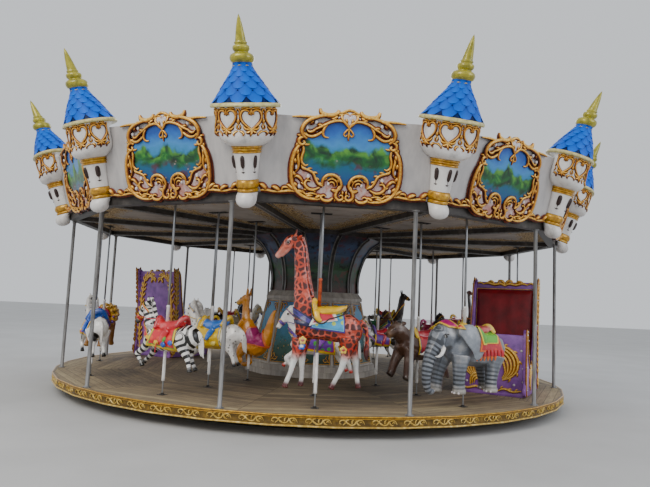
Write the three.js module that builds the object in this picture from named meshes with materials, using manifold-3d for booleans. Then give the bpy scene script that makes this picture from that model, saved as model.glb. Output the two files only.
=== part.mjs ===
// Fairground carousel with twelve bays: a deck that turns round a fixed mast, a leaning crown with
// twelve small turrets, and animals that rise and fall on rods. Millimetres, +Z up, ground at z = 0.
// Angles are counted from -Y towards +X. Crown panels are centred on multiples of 30 degrees.
import * as THREE from "three";
import { mergeVertices } from "three/addons/utils/BufferGeometryUtils.js";
import Module from "manifold-3d";

const wasm = await Module();
wasm.setup();

// Driving dimensions
const bays = 12;
const bayAngle = 360 / bays;
const cornerAngle = bayAngle / 2;
const seatGap = 0.4; // between pieces that rest on each other

const deckRadius = 4960;
const deckTop = 300;
const deckThickness = 130;
const rimRadius = 5000;
const rimBottom = 156;
const rimSides = 36;

const trackRadius = 4300;
const trackTop = 90;
const mastRadius = 150;
const mastBoreRadius = 156;
const mastSides = 16;
const mastTop = 3200;
const mastFlangeThickness = 30;

const frameBottom = 3070;
const frameTop = 3160;
const beamWidth = 70;
const hubPlateRadius = 1415;
const ceilingThickness = 12;
const ringInner = 4800; // ring round the ends of the beams, at its corners
const ringOuter = 4950;
const ceilingRadius = ringInner - 1;
const ceilingHole = 1300;

const crownBottom = 3200;
const crownTop = 4180;
const crownBottomRadius = 4990; // at the corners of the twelve-sided wall
const crownTopRadius = 5295;
const crownThickness = 21;
const crownSlope = (crownTopRadius - crownBottomRadius) / (crownTop - crownBottom);
const crownLean = Math.atan(crownSlope);
const ledgeHeight = 3980; // inner ledge that carries the roof
const ledgeWidth = 53;
const roofApex = 4900;

const poleRadius = 30;
const poleCircle = 4880;
const poleAngle = 12; // first pole, three degrees short of the crown's corner

const rodRadius = 17.5;
const rodTop = 3320;
const slotLength = 270;
const slotWidth = 52;
const sleeveRadius = 25;
const sleeveBottom = 500;
const sleeveBoreRadius = 12.5;
const sleeveBoreTop = 830;
const guideRadius = 12;
const guideTop = 690;
const animalAngle = -3; // middle of a bay between two poles
const outerRow = 4440;
const middleRow = 3400;
const innerRow = 2300;

const radians = (degrees) => THREE.MathUtils.degToRad(degrees);

// Colours of the finishes
const finishes = {
  steel: new THREE.MeshStandardMaterial({ color: 0x8d9092, roughness: 0.45, metalness: 0.8 }),
  darkSteel: new THREE.MeshStandardMaterial({ color: 0x3a3634, roughness: 0.6, metalness: 0.3 }),
  gold: new THREE.MeshStandardMaterial({ color: 0xc79a2b, roughness: 0.35, metalness: 0.6 }),
  white: new THREE.MeshStandardMaterial({ color: 0xd6d2cf, roughness: 0.5 }),
  deckWood: new THREE.MeshStandardMaterial({ color: 0x81735c, roughness: 0.85 }),
  ceilingPaint: new THREE.MeshStandardMaterial({ color: 0x8a7a66, roughness: 0.8 }),
  hubPaint: new THREE.MeshStandardMaterial({ color: 0x2f6f8a, roughness: 0.6 }),
  hubGrey: new THREE.MeshStandardMaterial({ color: 0x9c9a98, roughness: 0.7 }),
  roofCloth: new THREE.MeshStandardMaterial({ color: 0xb8b4ac, roughness: 0.9 }),
  turretBlue: new THREE.MeshStandardMaterial({ color: 0x2f8be0, roughness: 0.4 }),
  purple: new THREE.MeshStandardMaterial({ color: 0x7d4fa0, roughness: 0.5 }),
};

const carousel = new THREE.Group();

// Solids

// The geometry as a solid with its faces outward.
function solid(geometry) {
  const bare = geometry.index ? geometry.toNonIndexed() : geometry.clone();
  bare.deleteAttribute("normal");
  bare.deleteAttribute("uv");
  const merged = mergeVertices(bare, 1e-3);
  const triVerts = new Uint32Array(merged.index.array);
  const vertProperties = new Float32Array(merged.attributes.position.array);
  const made = new wasm.Manifold(new wasm.Mesh({ numProp: 3, vertProperties, triVerts }));
  if (made.volume() > 0) {
    return made;
  }
  triVerts.reverse();
  return new wasm.Manifold(new wasm.Mesh({ numProp: 3, vertProperties, triVerts }));
}

function geometryOf(shape) {
  const mesh = shape.getMesh();
  const geometry = new THREE.BufferGeometry();
  geometry.setAttribute("position", new THREE.BufferAttribute(new Float32Array(mesh.vertProperties), 3));
  geometry.setIndex(new THREE.BufferAttribute(new Uint32Array(mesh.triVerts), 1));
  return geometry;
}

function join(parts) {
  return parts.reduce((whole, part) => whole.add(part));
}

function addPiece(name, shape, finish, parent = carousel) {
  const mesh = new THREE.Mesh(geometryOf(shape), finishes[finish] ?? finish);
  mesh.name = name;
  parent.add(mesh);
  return mesh;
}

// A turned solid about Z from [radius, height] points, with a corner on the crown's corner angle.
function turned(profile, sides) {
  const points = profile.map(([radius, height]) => new THREE.Vector2(radius, height));
  const geometry = new THREE.LatheGeometry(points, sides);
  geometry.rotateX(Math.PI / 2);
  if (sides === bays) {
    geometry.rotateZ(radians(cornerAngle));
  }
  return solid(geometry);
}

// A turned ring, whose profile closes on itself.
function turnedRing(profile, sides) {
  return turned([...profile, profile[0]], sides);
}

// A box from its lowest to its highest corner.
function block(low, high) {
  const size = high.map((value, axis) => value - low[axis]);
  const geometry = new THREE.BoxGeometry(...size);
  geometry.translate(low[0] + size[0] / 2, low[1] + size[1] / 2, low[2] + size[2] / 2);
  return geometry;
}

// A group that stands at an angle round the carousel, with its own +Y pointing outward.
function station(angle, radius) {
  const group = new THREE.Group();
  group.position.set(radius * Math.sin(radians(angle)), -radius * Math.cos(radians(angle)), 0);
  group.rotation.z = radians(angle + 180);
  group.updateMatrixWorld(true);
  return group;
}

// The solid moved from a station's frame into the carousel's.
function placed(shape, group) {
  return solid(geometryOf(shape).applyMatrix4(group.matrixWorld));
}

// Ground frame and mast

function groundFrame() {
  const ring = turnedRing([[trackRadius - 90, 0], [trackRadius + 90, 0], [trackRadius + 90, trackTop],
    [trackRadius - 90, trackTop]], 24);
  const parts = [ring, turned([[0, 0], [420, 0], [420, 120], [0, 120]], mastSides)];
  for (let index = 0; index < 6; index += 1) {
    const beam = block([-50, -trackRadius, 5], [50, -300, trackTop - 10]);
    beam.rotateZ(radians(index * 60));
    parts.push(solid(beam));
  }
  return join(parts);
}

function mast() {
  const foot = 120 + seatGap;
  const flange = frameBottom - seatGap;
  return turned([[0, foot], [300, foot], [300, foot + 20], [mastRadius, foot + 20],
    [mastRadius, flange - mastFlangeThickness], [240, flange - mastFlangeThickness],
    [240, flange], [mastRadius, flange],
    [mastRadius, mastTop], [0, mastTop]], mastSides);
}

addPiece("ground_frame", groundFrame(), "darkSteel");
addPiece("centre_mast", mast(), "darkSteel");

// Animals. Each is a list of limbs in its own frame: x forward, y outward, z from the ground, and
// the rod stands at x = 0, y = 0. A limb runs through rings given as [x, z, radius], level rings
// for what stands, such as legs and necks, and upright rings for what lies, such as the trunk.

const limbSides = 4;
const neckSides = 5;
const trunkSides = 7;

// A closed limb with flat ends through its rings, at a side offset y and squashed across by width.
function limb(rings, { sides = limbSides, lying = false, y = 0, width = 1 } = {}) {
  const along = lying ? 0 : 1;
  const profile = rings.map((ring) => new THREE.Vector2(ring[2], ring[along]));
  const first = new THREE.Vector2(0, profile[0].y);
  const last = new THREE.Vector2(0, profile[profile.length - 1].y);
  const rows = [rings[0], ...rings, rings[rings.length - 1]];
  const geometry = new THREE.LatheGeometry([first, ...profile, last], sides, Math.PI / sides);
  const position = geometry.attributes.position;
  for (let index = 0; index < position.count; index += 1) {
    const ring = rows[index % rows.length];
    const across = position.getX(index) * width + y;
    const other = position.getZ(index);
    if (lying) {
      position.setXYZ(index, ring[0], across, ring[1] + other);
    } else {
      position.setXYZ(index, ring[0] + other, across, ring[1]);
    }
  }
  return solid(geometry);
}

// Four legs, two at each side of the rod.
function legs(hip, poses) {
  return poses.map((rings, index) => limb(rings, { y: index % 2 === 0 ? hip : -hip }));
}

const trunk = (rings, width = 0.82) => limb(rings, { sides: trunkSides, lying: true, width });
const neck = (rings, width = 0.85) => limb(rings, { sides: neckSides, width });
const head = (rings, width = 0.85) => limb(rings, { sides: neckSides, lying: true, width });
const tail = (rings) => limb(rings);

// Horse-like animals share a gallop and differ in size.
function horse(size) {
  const middle = 1120;
  const scaled = (rings) => rings.map(([x, z, radius]) => [x * size, middle + (z - middle) * size, radius * size]);
  return [
    trunk(scaled([[-520, 1160, 90], [-380, 1130, 182], [210, 1120, 182], [360, 1170, 100]])),
    neck(scaled([[250, 1130, 135], [350, 1380, 100], [410, 1590, 80]])),
    head(scaled([[330, 1570, 75], [440, 1530, 95], [600, 1330, 50]])),
    ...legs(95 * size, [
      scaled([[330, 690, 44], [430, 900, 50], [240, 1100, 88]]),
      scaled([[500, 720, 44], [340, 860, 50], [240, 1100, 88]]),
      scaled([[-570, 670, 44], [-500, 870, 54], [-370, 1100, 100]]),
      scaled([[-520, 680, 44], [-390, 850, 54], [-370, 1100, 100]]),
    ]),
    tail(scaled([[-680, 860, 34], [-630, 1060, 55], [-480, 1200, 45]])),
  ];
}

const kinds = {
  horse: () => horse(1),
  pony: () => horse(0.85),
  goat: () => horse(0.72),
  giraffe: () => [
    trunk([[-640, 1350, 110], [-480, 1330, 215], [120, 1400, 225], [310, 1420, 130]]),
    neck([[130, 1380, 190], [200, 1800, 120], [260, 2560, 80]]),
    head([[170, 2590, 80], [290, 2540, 100], [540, 2370, 50]]),
    neck([[235, 2560, 60], [205, 2710, 24]], 2),
    ...legs(105, [
      [[240, 570, 46], [220, 920, 55], [200, 1280, 100]],
      [[350, 570, 46], [340, 930, 55], [200, 1280, 100]],
      [[-620, 570, 46], [-450, 920, 58], [-480, 1250, 115]],
      [[-350, 570, 46], [-360, 900, 58], [-480, 1250, 115]],
    ]),
    tail([[-700, 950, 32], [-600, 1420, 40]]),
  ],
  elephant: () => [
    trunk([[-700, 1150, 130], [-500, 1140, 270], [150, 1180, 265], [330, 1230, 170]], 0.9),
    head([[260, 1270, 150], [430, 1300, 225], [640, 1190, 110]], 0.9),
    neck([[700, 520, 46], [740, 680, 60], [640, 1180, 100]]),
    ...legs(150, [
      [[240, 510, 92], [260, 760, 88], [230, 1000, 115]],
      [[420, 510, 92], [380, 780, 88], [230, 1000, 115]],
      [[-420, 510, 92], [-430, 780, 90], [-480, 1000, 125]],
      [[-620, 510, 92], [-560, 780, 90], [-480, 1000, 125]],
    ]),
    tail([[-720, 860, 20], [-670, 1220, 28]]),
  ],
  lion: () => [
    trunk([[-500, 1110, 90], [-360, 1090, 170], [210, 1120, 185], [330, 1160, 150]]),
    head([[180, 1260, 160], [290, 1310, 250], [430, 1340, 235], [500, 1330, 130], [630, 1270, 75]], 0.9),
    ...legs(110, [
      [[470, 660, 60], [380, 860, 62], [250, 1060, 90]],
      [[330, 610, 60], [290, 830, 62], [250, 1060, 90]],
      [[-560, 630, 60], [-430, 840, 62], [-360, 1060, 105]],
      [[-420, 610, 60], [-330, 820, 62], [-360, 1060, 105]],
    ]),
    tail([[-430, 1100, 40], [-640, 1280, 26], [-660, 1500, 45]]),
  ],
  ostrich: () => [
    trunk([[-600, 1400, 50], [-400, 1280, 150], [-220, 1230, 200], [90, 1220, 205], [230, 1280, 110]]),
    neck([[180, 1250, 85], [260, 1650, 50], [225, 2130, 42]]),
    head([[160, 2130, 40], [240, 2130, 58], [390, 2090, 24]]),
    ...legs(90, [
      [[60, 580, 36], [-60, 820, 42], [30, 1130, 95]],
      [[190, 580, 36], [80, 820, 42], [30, 1130, 95]],
    ]),
  ],
  alpaca: () => [
    trunk([[-560, 1310, 100], [-420, 1290, 200], [180, 1290, 200], [340, 1330, 120]]),
    neck([[250, 1300, 130], [330, 1650, 90], [380, 2010, 78]]),
    head([[310, 1990, 70], [400, 1970, 85], [600, 1890, 45]]),
    ...legs(105, [
      [[240, 560, 44], [250, 880, 52], [220, 1210, 90]],
      [[390, 580, 44], [370, 900, 52], [220, 1210, 90]],
      [[-540, 560, 44], [-420, 880, 52], [-420, 1210, 100]],
      [[-330, 560, 44], [-330, 880, 52], [-420, 1210, 100]],
    ]),
    tail([[-640, 1140, 30], [-530, 1370, 45]]),
  ],
  bear: () => [
    trunk([[-530, 1100, 110], [-400, 1080, 215], [190, 1080, 205], [340, 1140, 160]], 0.9),
    head([[260, 1200, 160], [430, 1330, 160], [520, 1330, 130], [640, 1270, 65]], 0.9),
    ...legs(120, [
      [[330, 560, 66], [300, 780, 70], [240, 1000, 100]],
      [[480, 600, 66], [400, 800, 70], [240, 1000, 100]],
      [[-520, 570, 66], [-420, 780, 72], [-380, 1000, 110]],
      [[-360, 560, 66], [-340, 770, 72], [-380, 1000, 110]],
    ]),
  ],
  kangaroo: () => [
    neck([[-70, 740, 100], [-60, 930, 190], [40, 1180, 155], [120, 1430, 80], [120, 1760, 70]]),
    head([[50, 1740, 60], [140, 1710, 85], [330, 1650, 45]]),
    ...legs(100, [
      [[270, 600, 44], [150, 700, 60], [10, 900, 110]],
      [[200, 560, 44], [90, 690, 60], [10, 900, 110]],
    ]),
    ...legs(60, [
      [[240, 1200, 34], [70, 1370, 50]],
      [[240, 1200, 34], [70, 1370, 50]],
    ]),
    neck([[-170, 850, 150], [-360, 1150, 110], [-460, 1560, 36]]),
  ],
};

// Sleeve, rod and limbs of one animal as a single casting, with the bore that runs on its guide rod.
function animalShape(kind) {
  const rod = turned([[0, 1000], [rodRadius, 1000], [rodRadius, rodTop], [0, rodTop]], 6);
  const sleeve = turned([[0, sleeveBottom], [sleeveRadius, sleeveBottom], [sleeveRadius, 1100],
    [0, 1100]], 6);
  const bore = turned([[0, sleeveBottom - 10], [sleeveBoreRadius, sleeveBottom - 10],
    [sleeveBoreRadius, sleeveBoreTop], [0, sleeveBoreTop]], 6);
  return join([...kinds[kind](), rod, sleeve]).subtract(bore);
}

// Name, kind, bay and row of each animal. Bays 2 and -4 hold the chariots.
const herd = [
  ["giraffe", "giraffe", 0, outerRow, 0xc8501e],
  ["zebra", "horse", -1, outerRow, 0xe8e6e2],
  ["spotted_horse", "horse", -2, outerRow, 0xe8e6e2],
  ["lion", "lion", -3, outerRow, 0x8a5a1c],
  ["elephant", "elephant", 1, outerRow, 0x70747c],
  ["ostrich", "ostrich", 4, outerRow, 0x3a3230],
  ["alpaca", "alpaca", 5, outerRow, 0x2e2420],
  ["brown_horse", "horse", 3, outerRow, 0x5a3420],
  ["grey_horse", "horse", 6, outerRow, 0xa09c98],
  ["black_horse", "horse", 7, outerRow, 0x26221f],
  ["plumed_horse", "horse", 0, middleRow, 0xe8e6e2],
  ["draped_horse", "horse", -1, middleRow, 0xd9b018],
  ["bear", "bear", 1, middleRow, 0x4a3022],
  ["dark_pony", "pony", 4, middleRow, 0x34242a],
  ["chestnut_pony", "pony", 5, middleRow, 0x6a3c22],
  ["white_pony", "pony", 6, middleRow, 0xe0dcd6],
  ["cream_pony", "pony", 7, middleRow, 0xcdbf9e],
  ["kangaroo", "kangaroo", -1, innerRow, 0xd98a14],
  ["goat", "goat", -2, innerRow, 0xd2cec8],
  ["pied_pony", "goat", 1, innerRow, 0x3c3838],
];

const seatAngle = (bay) => animalAngle + bay * bayAngle;

for (const [name, kind, bay, row, color] of herd) {
  const place = station(seatAngle(bay), row);
  const coat = new THREE.MeshStandardMaterial({ color, roughness: 0.45 });
  addPiece(name, animalShape(kind), coat, place);
  carousel.add(place);
}

// Guide frame under the deck: a spoke below the animals of each bay, with a guide rod for each one,
// then the deck that lies on it, and its gold rim

const guideFrameTop = deckTop - deckThickness - seatGap;
const guideFrameBottom = 150;

function guideFrame() {
  const parts = [turnedRing([[mastBoreRadius, guideFrameBottom], [420, guideFrameBottom],
    [420, guideFrameTop], [mastBoreRadius, guideFrameTop]], mastSides)];
  for (let bay = 0; bay < bays; bay += 1) {
    const reach = Math.max(...herd.filter(([, , place]) => (place + bays) % bays === bay)
      .map(([, , , row]) => row), 0);
    if (reach > 0) {
      const spoke = block([-40, -reach - 60, guideFrameBottom + 1], [40, -300, guideFrameTop - 1]);
      spoke.rotateZ(radians(seatAngle(bay)));
      parts.push(solid(spoke));
    }
  }
  const guide = turned([[0, guideFrameBottom + 5], [guideRadius, guideFrameBottom + 5],
    [guideRadius, guideTop], [0, guideTop]], 6);
  for (const [, , bay, row] of herd) {
    parts.push(placed(guide, station(seatAngle(bay), row)));
  }
  return join(parts);
}

function deck() {
  const bottom = deckTop - deckThickness;
  const disc = turned([[0, bottom], [deckRadius, bottom], [deckRadius, deckTop], [0, deckTop]], rimSides);
  const bore = turned([[0, 0], [mastBoreRadius, 0], [mastBoreRadius, deckTop + 50], [0, deckTop + 50]],
    mastSides);
  const holeRadius = guideRadius + 1;
  const hole = turned([[0, 0], [holeRadius, 0], [holeRadius, deckTop + 50], [0, deckTop + 50]], 6);
  const holes = herd.map(([, , bay, row]) => placed(hole, station(seatAngle(bay), row)));
  return disc.subtract(join([bore, ...holes]));
}

function deckRim() {
  const inner = deckRadius + seatGap;
  const top = deckTop + 3;
  return turnedRing([[inner, rimBottom], [rimRadius, rimBottom], [rimRadius - 8, (rimBottom + top) / 2],
    [rimRadius, top], [inner, top]], rimSides);
}

addPiece("guide_frame", guideFrame(), "steel");
addPiece("deck", deck(), "deckWood");
addPiece("deck_rim", deckRim(), "gold");

// Hub: plinth, tapered drum, cap and flared top, a closed housing with a bore for the mast

const plinthTop = 500;
const drumTop = 1780;
const capTop = 1950;

// A housing piece round the mast from the [radius, height] points of its outside, upward.
// At the top of the hub it also leaves room for the mast's flange.
function housing(outside) {
  const low = outside[0][1];
  const high = outside[outside.length - 1][1];
  const recess = frameBottom - mastFlangeThickness - 10;
  const inside = turned([[0, 0], [mastBoreRadius, 0], [mastBoreRadius, recess], [262, recess],
    [262, mastTop], [0, mastTop]], mastSides);
  return turned([[0, low], ...outside, [0, high]], bays).subtract(inside);
}

addPiece("hub_plinth", housing([[1420, deckTop + seatGap], [1420, 400], [1350, 400],
  [1350, plinthTop]]), "hubGrey");
addPiece("hub_drum", housing([[1280, plinthTop + seatGap], [1010, drumTop]]), "hubPaint");
addPiece("hub_cap", housing([[1045, drumTop + seatGap], [1045, 1840], [960, capTop]]), "hubGrey");
addPiece("hub_flare", housing([[935, capTop + seatGap], [920, 2150], [950, 2400], [1045, 2700],
  [1200, 2920], [1405, frameBottom - seatGap]]), "darkSteel");

// Roof frame of radial beams on a hub plate, the ring round their ends, and the ceiling on the beams

function roofFrame() {
  const parts = [turnedRing([[mastBoreRadius, frameBottom], [hubPlateRadius, frameBottom],
    [hubPlateRadius, frameTop], [mastBoreRadius, frameTop]], bays)];
  const reach = ringInner - beamWidth / 2 * Math.tan(radians(cornerAngle)) - seatGap;
  for (let index = 0; index < bays; index += 1) {
    const beam = block([-beamWidth / 2, -reach, frameBottom + 1], [beamWidth / 2, -600, frameTop - 1]);
    beam.rotateZ(radians(cornerAngle + index * bayAngle));
    parts.push(solid(beam));
  }
  return join(parts);
}

function eavesRing() {
  const top = crownBottom - seatGap;
  return turnedRing([[ringInner, frameBottom], [ringOuter, frameBottom], [ringOuter, top],
    [ringInner, top]], bays);
}

function ceiling() {
  const low = frameTop + seatGap;
  const high = low + ceilingThickness;
  const sheet = turnedRing([[ceilingHole, low], [ceilingRadius, low], [ceilingRadius, high],
    [ceilingHole, high]], bays);
  const slots = herd.map(([, , bay, row]) => {
    const slot = block([-slotLength / 2, -slotWidth / 2, low - 10], [slotLength / 2, slotWidth / 2, high + 10]);
    return placed(solid(slot), station(seatAngle(bay), row));
  });
  return sheet.subtract(join(slots));
}

addPiece("roof_frame", roofFrame(), "darkSteel");
addPiece("eaves_ring", eavesRing(), "darkSteel");
addPiece("ceiling", ceiling(), "ceilingPaint");

// Crown: a leaning wall with inner ledges, and a picture plate in the middle of each side

const crownRadiusAt = (height) => crownBottomRadius + (height - crownBottom) * crownSlope;
const crownInnerAt = (height) => crownRadiusAt(height) - crownThickness;
const ledgeInner = crownInnerAt(ledgeHeight) - ledgeWidth;
const frontShare = Math.cos(radians(cornerAngle));

const plateHalfWidth = 730;
const plateThickness = 65;

// Outline of one picture plate, up the middle of a side: [half width, height along the wall].
const plateOutline = [[0, -95], [300, -45], [570, 25], [plateHalfWidth, 380], [660, 850],
  [540, 1000], [230, 1110], [0, 1150]];

function crownPlate() {
  const shape = new THREE.Shape();
  const mirrored = plateOutline.slice(1, -1).reverse().map(([x, s]) => [-x, s]);
  [...plateOutline, ...mirrored].forEach(([x, s], index) => {
    if (index === 0) {
      shape.moveTo(x, s);
    } else {
      shape.lineTo(x, s);
    }
  });
  const geometry = new THREE.ExtrudeGeometry(shape, { depth: plateThickness, bevelEnabled: false });
  geometry.translate(0, 0, -10);
  geometry.rotateX(Math.PI / 2);
  geometry.rotateZ(Math.PI);
  return geometry;
}

function crownWall() {
  const flangeTop = crownBottom + 14;
  const profile = [[crownBottomRadius, crownBottom], [crownTopRadius, crownTop],
    [crownInnerAt(crownTop), crownTop], [crownInnerAt(ledgeHeight), ledgeHeight],
    [ledgeInner, ledgeHeight], [ledgeInner, ledgeHeight - 15],
    [crownInnerAt(ledgeHeight - 15), ledgeHeight - 15],
    [crownInnerAt(flangeTop), flangeTop], [ringInner + 20, flangeTop], [ringInner + 20, crownBottom]];
  const parts = [turnedRing(profile, bays)];
  const faceLean = Math.atan(crownSlope * frontShare);
  for (let index = 0; index < bays; index += 1) {
    const plate = crownPlate();
    plate.rotateX(-faceLean);
    plate.translate(0, crownBottomRadius * frontShare, crownBottom);
    plate.rotateZ(radians(index * bayAngle + 180));
    parts.push(solid(plate));
  }
  return join(parts);
}

function roof() {
  const low = ledgeHeight + seatGap;
  const edge = crownInnerAt(low) - 6;
  return turned([[0, roofApex - 22], [ledgeInner - 20, low], [edge, low], [edge, low + 22],
    [0, roofApex]], bays);
}

addPiece("crown_wall", crownWall(), "white");
addPiece("roof", roof(), "roofCloth");

// Poles from the deck to the outer ring, and turrets on the corners of the crown

for (let index = 0; index < bays; index += 1) {
  const place = station(poleAngle + index * bayAngle, poleCircle);
  const pole = turned([[0, deckTop + seatGap], [poleRadius, deckTop + seatGap],
    [poleRadius, frameBottom - seatGap], [0, frameBottom - seatGap]], 10);
  addPiece(`pole_${String(index + 1).padStart(2, "0")}`, pole, "steel", place);
  carousel.add(place);
}

// Each row of a turret is [height along the wall, half width, middle, front], the last two in front
// of the crown's corner. Below the top of the wall a turret is a half-round against its two faces.
const turretRows = [[-225, 0, 108, 108], [-195, 88, 108, 196], [-130, 139, 108, 247],
  [-80, 139, 100, 239], [-20, 105, 60, 165], [-14, 132, 0, 190], [157, 145, 0, 195], [168, 138, 0, 180],
  [490, 176, 0, 215], [585, 192, 0, 230], [770, 395, 0, 310], [1080, 400, 0, 315], [1090, 465, 0, 345],
  [1130, 455, 0, 340], [1585, 120, 62, 182], [1625, 150, 70, 220], [1750, 150, 90, 240], [1790, 105, 98, 203],
  [1895, 74, 112, 186], [2213, 0, 167, 167]];
const turretWallTop = 1100;
const turretSides = 12;

function turret() {
  const backSlope = Math.tan(radians(cornerAngle)) * Math.cos(crownLean);
  const points = turretRows.map(([height, half]) => new THREE.Vector2(half, height));
  const geometry = new THREE.LatheGeometry(points, turretSides);
  geometry.rotateX(Math.PI / 2);
  const position = geometry.attributes.position;
  for (let index = 0; index < position.count; index += 1) {
    const [height, half, middle, front] = turretRows[index % turretRows.length];
    const x = position.getX(index);
    const share = half > 0 ? position.getY(index) / half : 0;
    let y = middle + share * (front - middle);
    if (height < turretWallTop) {
      y = Math.max(y, seatGap - backSlope * Math.abs(x));
    }
    position.setXYZ(index, x, y, height);
  }
  return solid(geometry);
}

for (let index = 0; index < bays; index += 1) {
  const place = station(cornerAngle + index * bayAngle, crownBottomRadius);
  place.position.z = crownBottom;
  const leaning = new THREE.Group();
  leaning.rotation.x = -crownLean;
  place.add(leaning);
  addPiece(`turret_${String(index + 1).padStart(2, "0")}`, turret(), "turretBlue", leaning);
  carousel.add(place);
}

// Chariots: a floor, a low front panel, curved sides, a bench and a high back

const chariotHalf = 600;
const chariotSide = [[-640, 330], [620, 330], [660, 560], [640, 1350], [560, 1350], [470, 1000],
  [250, 760], [0, 760], [-220, 980], [-400, 1500], [-520, 2150], [-600, 2300], [-700, 2320],
  [-690, 2150], [-620, 1500], [-600, 900]];

function chariotShape() {
  const outline = new THREE.Shape(chariotSide.map(([x, z]) => new THREE.Vector2(x, z)));
  const parts = [-chariotHalf, chariotHalf - 55].map((y) => {
    const side = new THREE.ExtrudeGeometry(outline, { depth: 55, bevelEnabled: false });
    side.rotateX(Math.PI / 2);
    side.translate(0, y + 55, 0);
    return solid(side);
  });
  const inside = chariotHalf - 20;
  parts.push(solid(block([-640, -inside, deckTop + seatGap], [630, inside, deckTop + 60])));
  parts.push(solid(block([575, -inside, deckTop + 10], [625, inside, 1340])));
  parts.push(solid(block([-590, -inside, deckTop + 10], [-60, inside, 740])));
  const back = block([-30, -inside, 0], [30, inside, 1640]);
  back.rotateY(radians(-3));
  back.translate(-545, 0, 640);
  parts.push(solid(back));
  return join(parts);
}

const chariots = [["chariot_right", 2], ["chariot_left", -4]];
for (const [name, bay] of chariots) {
  const place = station(seatAngle(bay), 3900);
  addPiece(name, chariotShape(), "purple", place);
  carousel.add(place);
}

export default carousel;
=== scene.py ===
import functools
import math

import bmesh
import bpy
import numpy
from mathutils import Matrix, Vector


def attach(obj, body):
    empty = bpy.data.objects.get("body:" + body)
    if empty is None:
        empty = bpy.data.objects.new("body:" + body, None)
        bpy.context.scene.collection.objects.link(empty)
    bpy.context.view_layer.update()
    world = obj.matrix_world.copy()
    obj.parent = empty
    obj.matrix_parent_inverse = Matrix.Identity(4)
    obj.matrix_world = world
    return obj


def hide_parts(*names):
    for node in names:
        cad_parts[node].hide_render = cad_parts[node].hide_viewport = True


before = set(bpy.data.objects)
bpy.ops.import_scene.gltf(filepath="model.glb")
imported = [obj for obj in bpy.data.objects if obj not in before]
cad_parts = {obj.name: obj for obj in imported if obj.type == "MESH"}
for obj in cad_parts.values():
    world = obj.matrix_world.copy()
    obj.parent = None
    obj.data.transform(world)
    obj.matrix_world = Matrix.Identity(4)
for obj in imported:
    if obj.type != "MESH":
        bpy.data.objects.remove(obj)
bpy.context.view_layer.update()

# Shared sizes of the ride in metres, as the frame has them.
ride = {
    "deckTop": 0.30,
    "onDeck": 0.3004,
    "rimRadius": 5.0,
    "rimBottom": 0.156,
    "poleCircle": 4.88,
    "poleAngle": 12.0,
    "crownBottom": 3.20,
    "crownTop": 4.18,
    "crownBottomRadius": 4.99,
    "crownTopRadius": 5.295,
    "crownThickness": 0.021,
}
baySpan, halfBay = math.radians(30), math.radians(15)
crownSlope = (ride["crownTopRadius"] - ride["crownBottomRadius"]) / (ride["crownTop"] - ride["crownBottom"])
crownLean = math.atan(crownSlope)
sideLean = math.atan(crownSlope * math.cos(halfBay))


# Colours, materials and meshes

def colour(code):
    levels = [int(code[place:place + 2], 16) / 255 for place in (1, 3, 5)]
    return tuple(v / 12.92 if v <= 0.04045 else ((v + 0.055) / 1.055) ** 2.4 for v in levels) + (1.0,)


# Adds a node with its settings and links and gives its first output, or the one that is named. Inputs
# stand in the order in which the node shows them, or have a name. A kind in capitals is an operation of
# the Math node, and a ramp gets its stops as (place, colour).
def addNode(tree, kind, *inputs, output=None, stops=(), **values):
    made = tree.nodes.new("ShaderNode" + ("Math" if kind.isupper() else kind))
    if kind.isupper():
        made.operation = kind
    for key in [key for key in values if hasattr(made, key)]:
        setattr(made, key, values.pop(key))
    shown = [socket for socket in made.inputs if socket.enabled]
    for socket, value in list(zip(shown, inputs)) + [(made.inputs[key], values[key]) for key in values]:
        if isinstance(value, bpy.types.NodeSocket):
            tree.links.new(value, socket)
        else:
            socket.default_value = value
    if stops:
        elements = made.color_ramp.elements
        while len(elements) < len(stops):
            elements.new(0.5)
        for element, (place, code) in zip(elements, stops):
            element.position = place
            element.color = colour(code)
    return made.outputs[output] if output else next(socket for socket in made.outputs if socket.enabled)


# A material, the function that adds nodes to it, and its shader.
def newMaterial(name, **values):
    made = bpy.data.materials.new(name)
    made.use_nodes = True
    shader = made.node_tree.nodes["Principled BSDF"]
    for socket, value in values.items():
        shader.inputs[socket.replace("_", " ")].default_value = value
    return made, functools.partial(addNode, made.node_tree), shader


# Where a pattern lies: the object's own coordinates or an attribute of its mesh, stretched by the scale.
def places(add, scale=(1.0, 1.0, 1.0), attribute=None):
    if attribute:
        source = add("Attribute", output="Vector", attribute_name=attribute)
    else:
        source = add("TexCoord", output="Object")
    return add("Mapping", source, Scale=scale)


# Links a finish's colour to its shader, and a bump of its height.
def finish(add, shader, source, height=None, strength=0.3, distance=0.004):
    links = shader.id_data.links
    links.new(source, shader.inputs["Base Color"])
    if height is not None:
        links.new(add("Bump", strength, distance, Height=height), shader.inputs["Normal"])


# A finish whose colour follows one noise, with a bump of (strength, distance) from it or from a finer noise.
def mottled(name, stops, scale, detail=4.0, rough=0.55, stretch=(1.0, 1.0, 1.0), bump=(), fine=None,
        **values):
    made, add, shader = newMaterial(name, **values)
    spots = add("TexNoise", places(add, stretch), scale, detail, rough)
    height = add("TexNoise", places(add), fine, 4.0, 0.55) if fine else spots
    finish(add, shader, add("ValToRGB", spots, stops=stops), height if bump else None, *bump)
    return made


# Tables in millimetres, given in metres.
def mm(table):
    return type(table)(mm(row) if isinstance(row, (list, tuple)) else row / 1000 for row in table)


def meshObject(name, mesh):
    made = bpy.data.objects.new(name, mesh)
    bpy.context.scene.collection.objects.link(made)
    return made


def meshOf(bm):
    mesh = bpy.data.meshes.new("shape")
    bm.to_mesh(mesh)
    bm.free()
    return mesh


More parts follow.
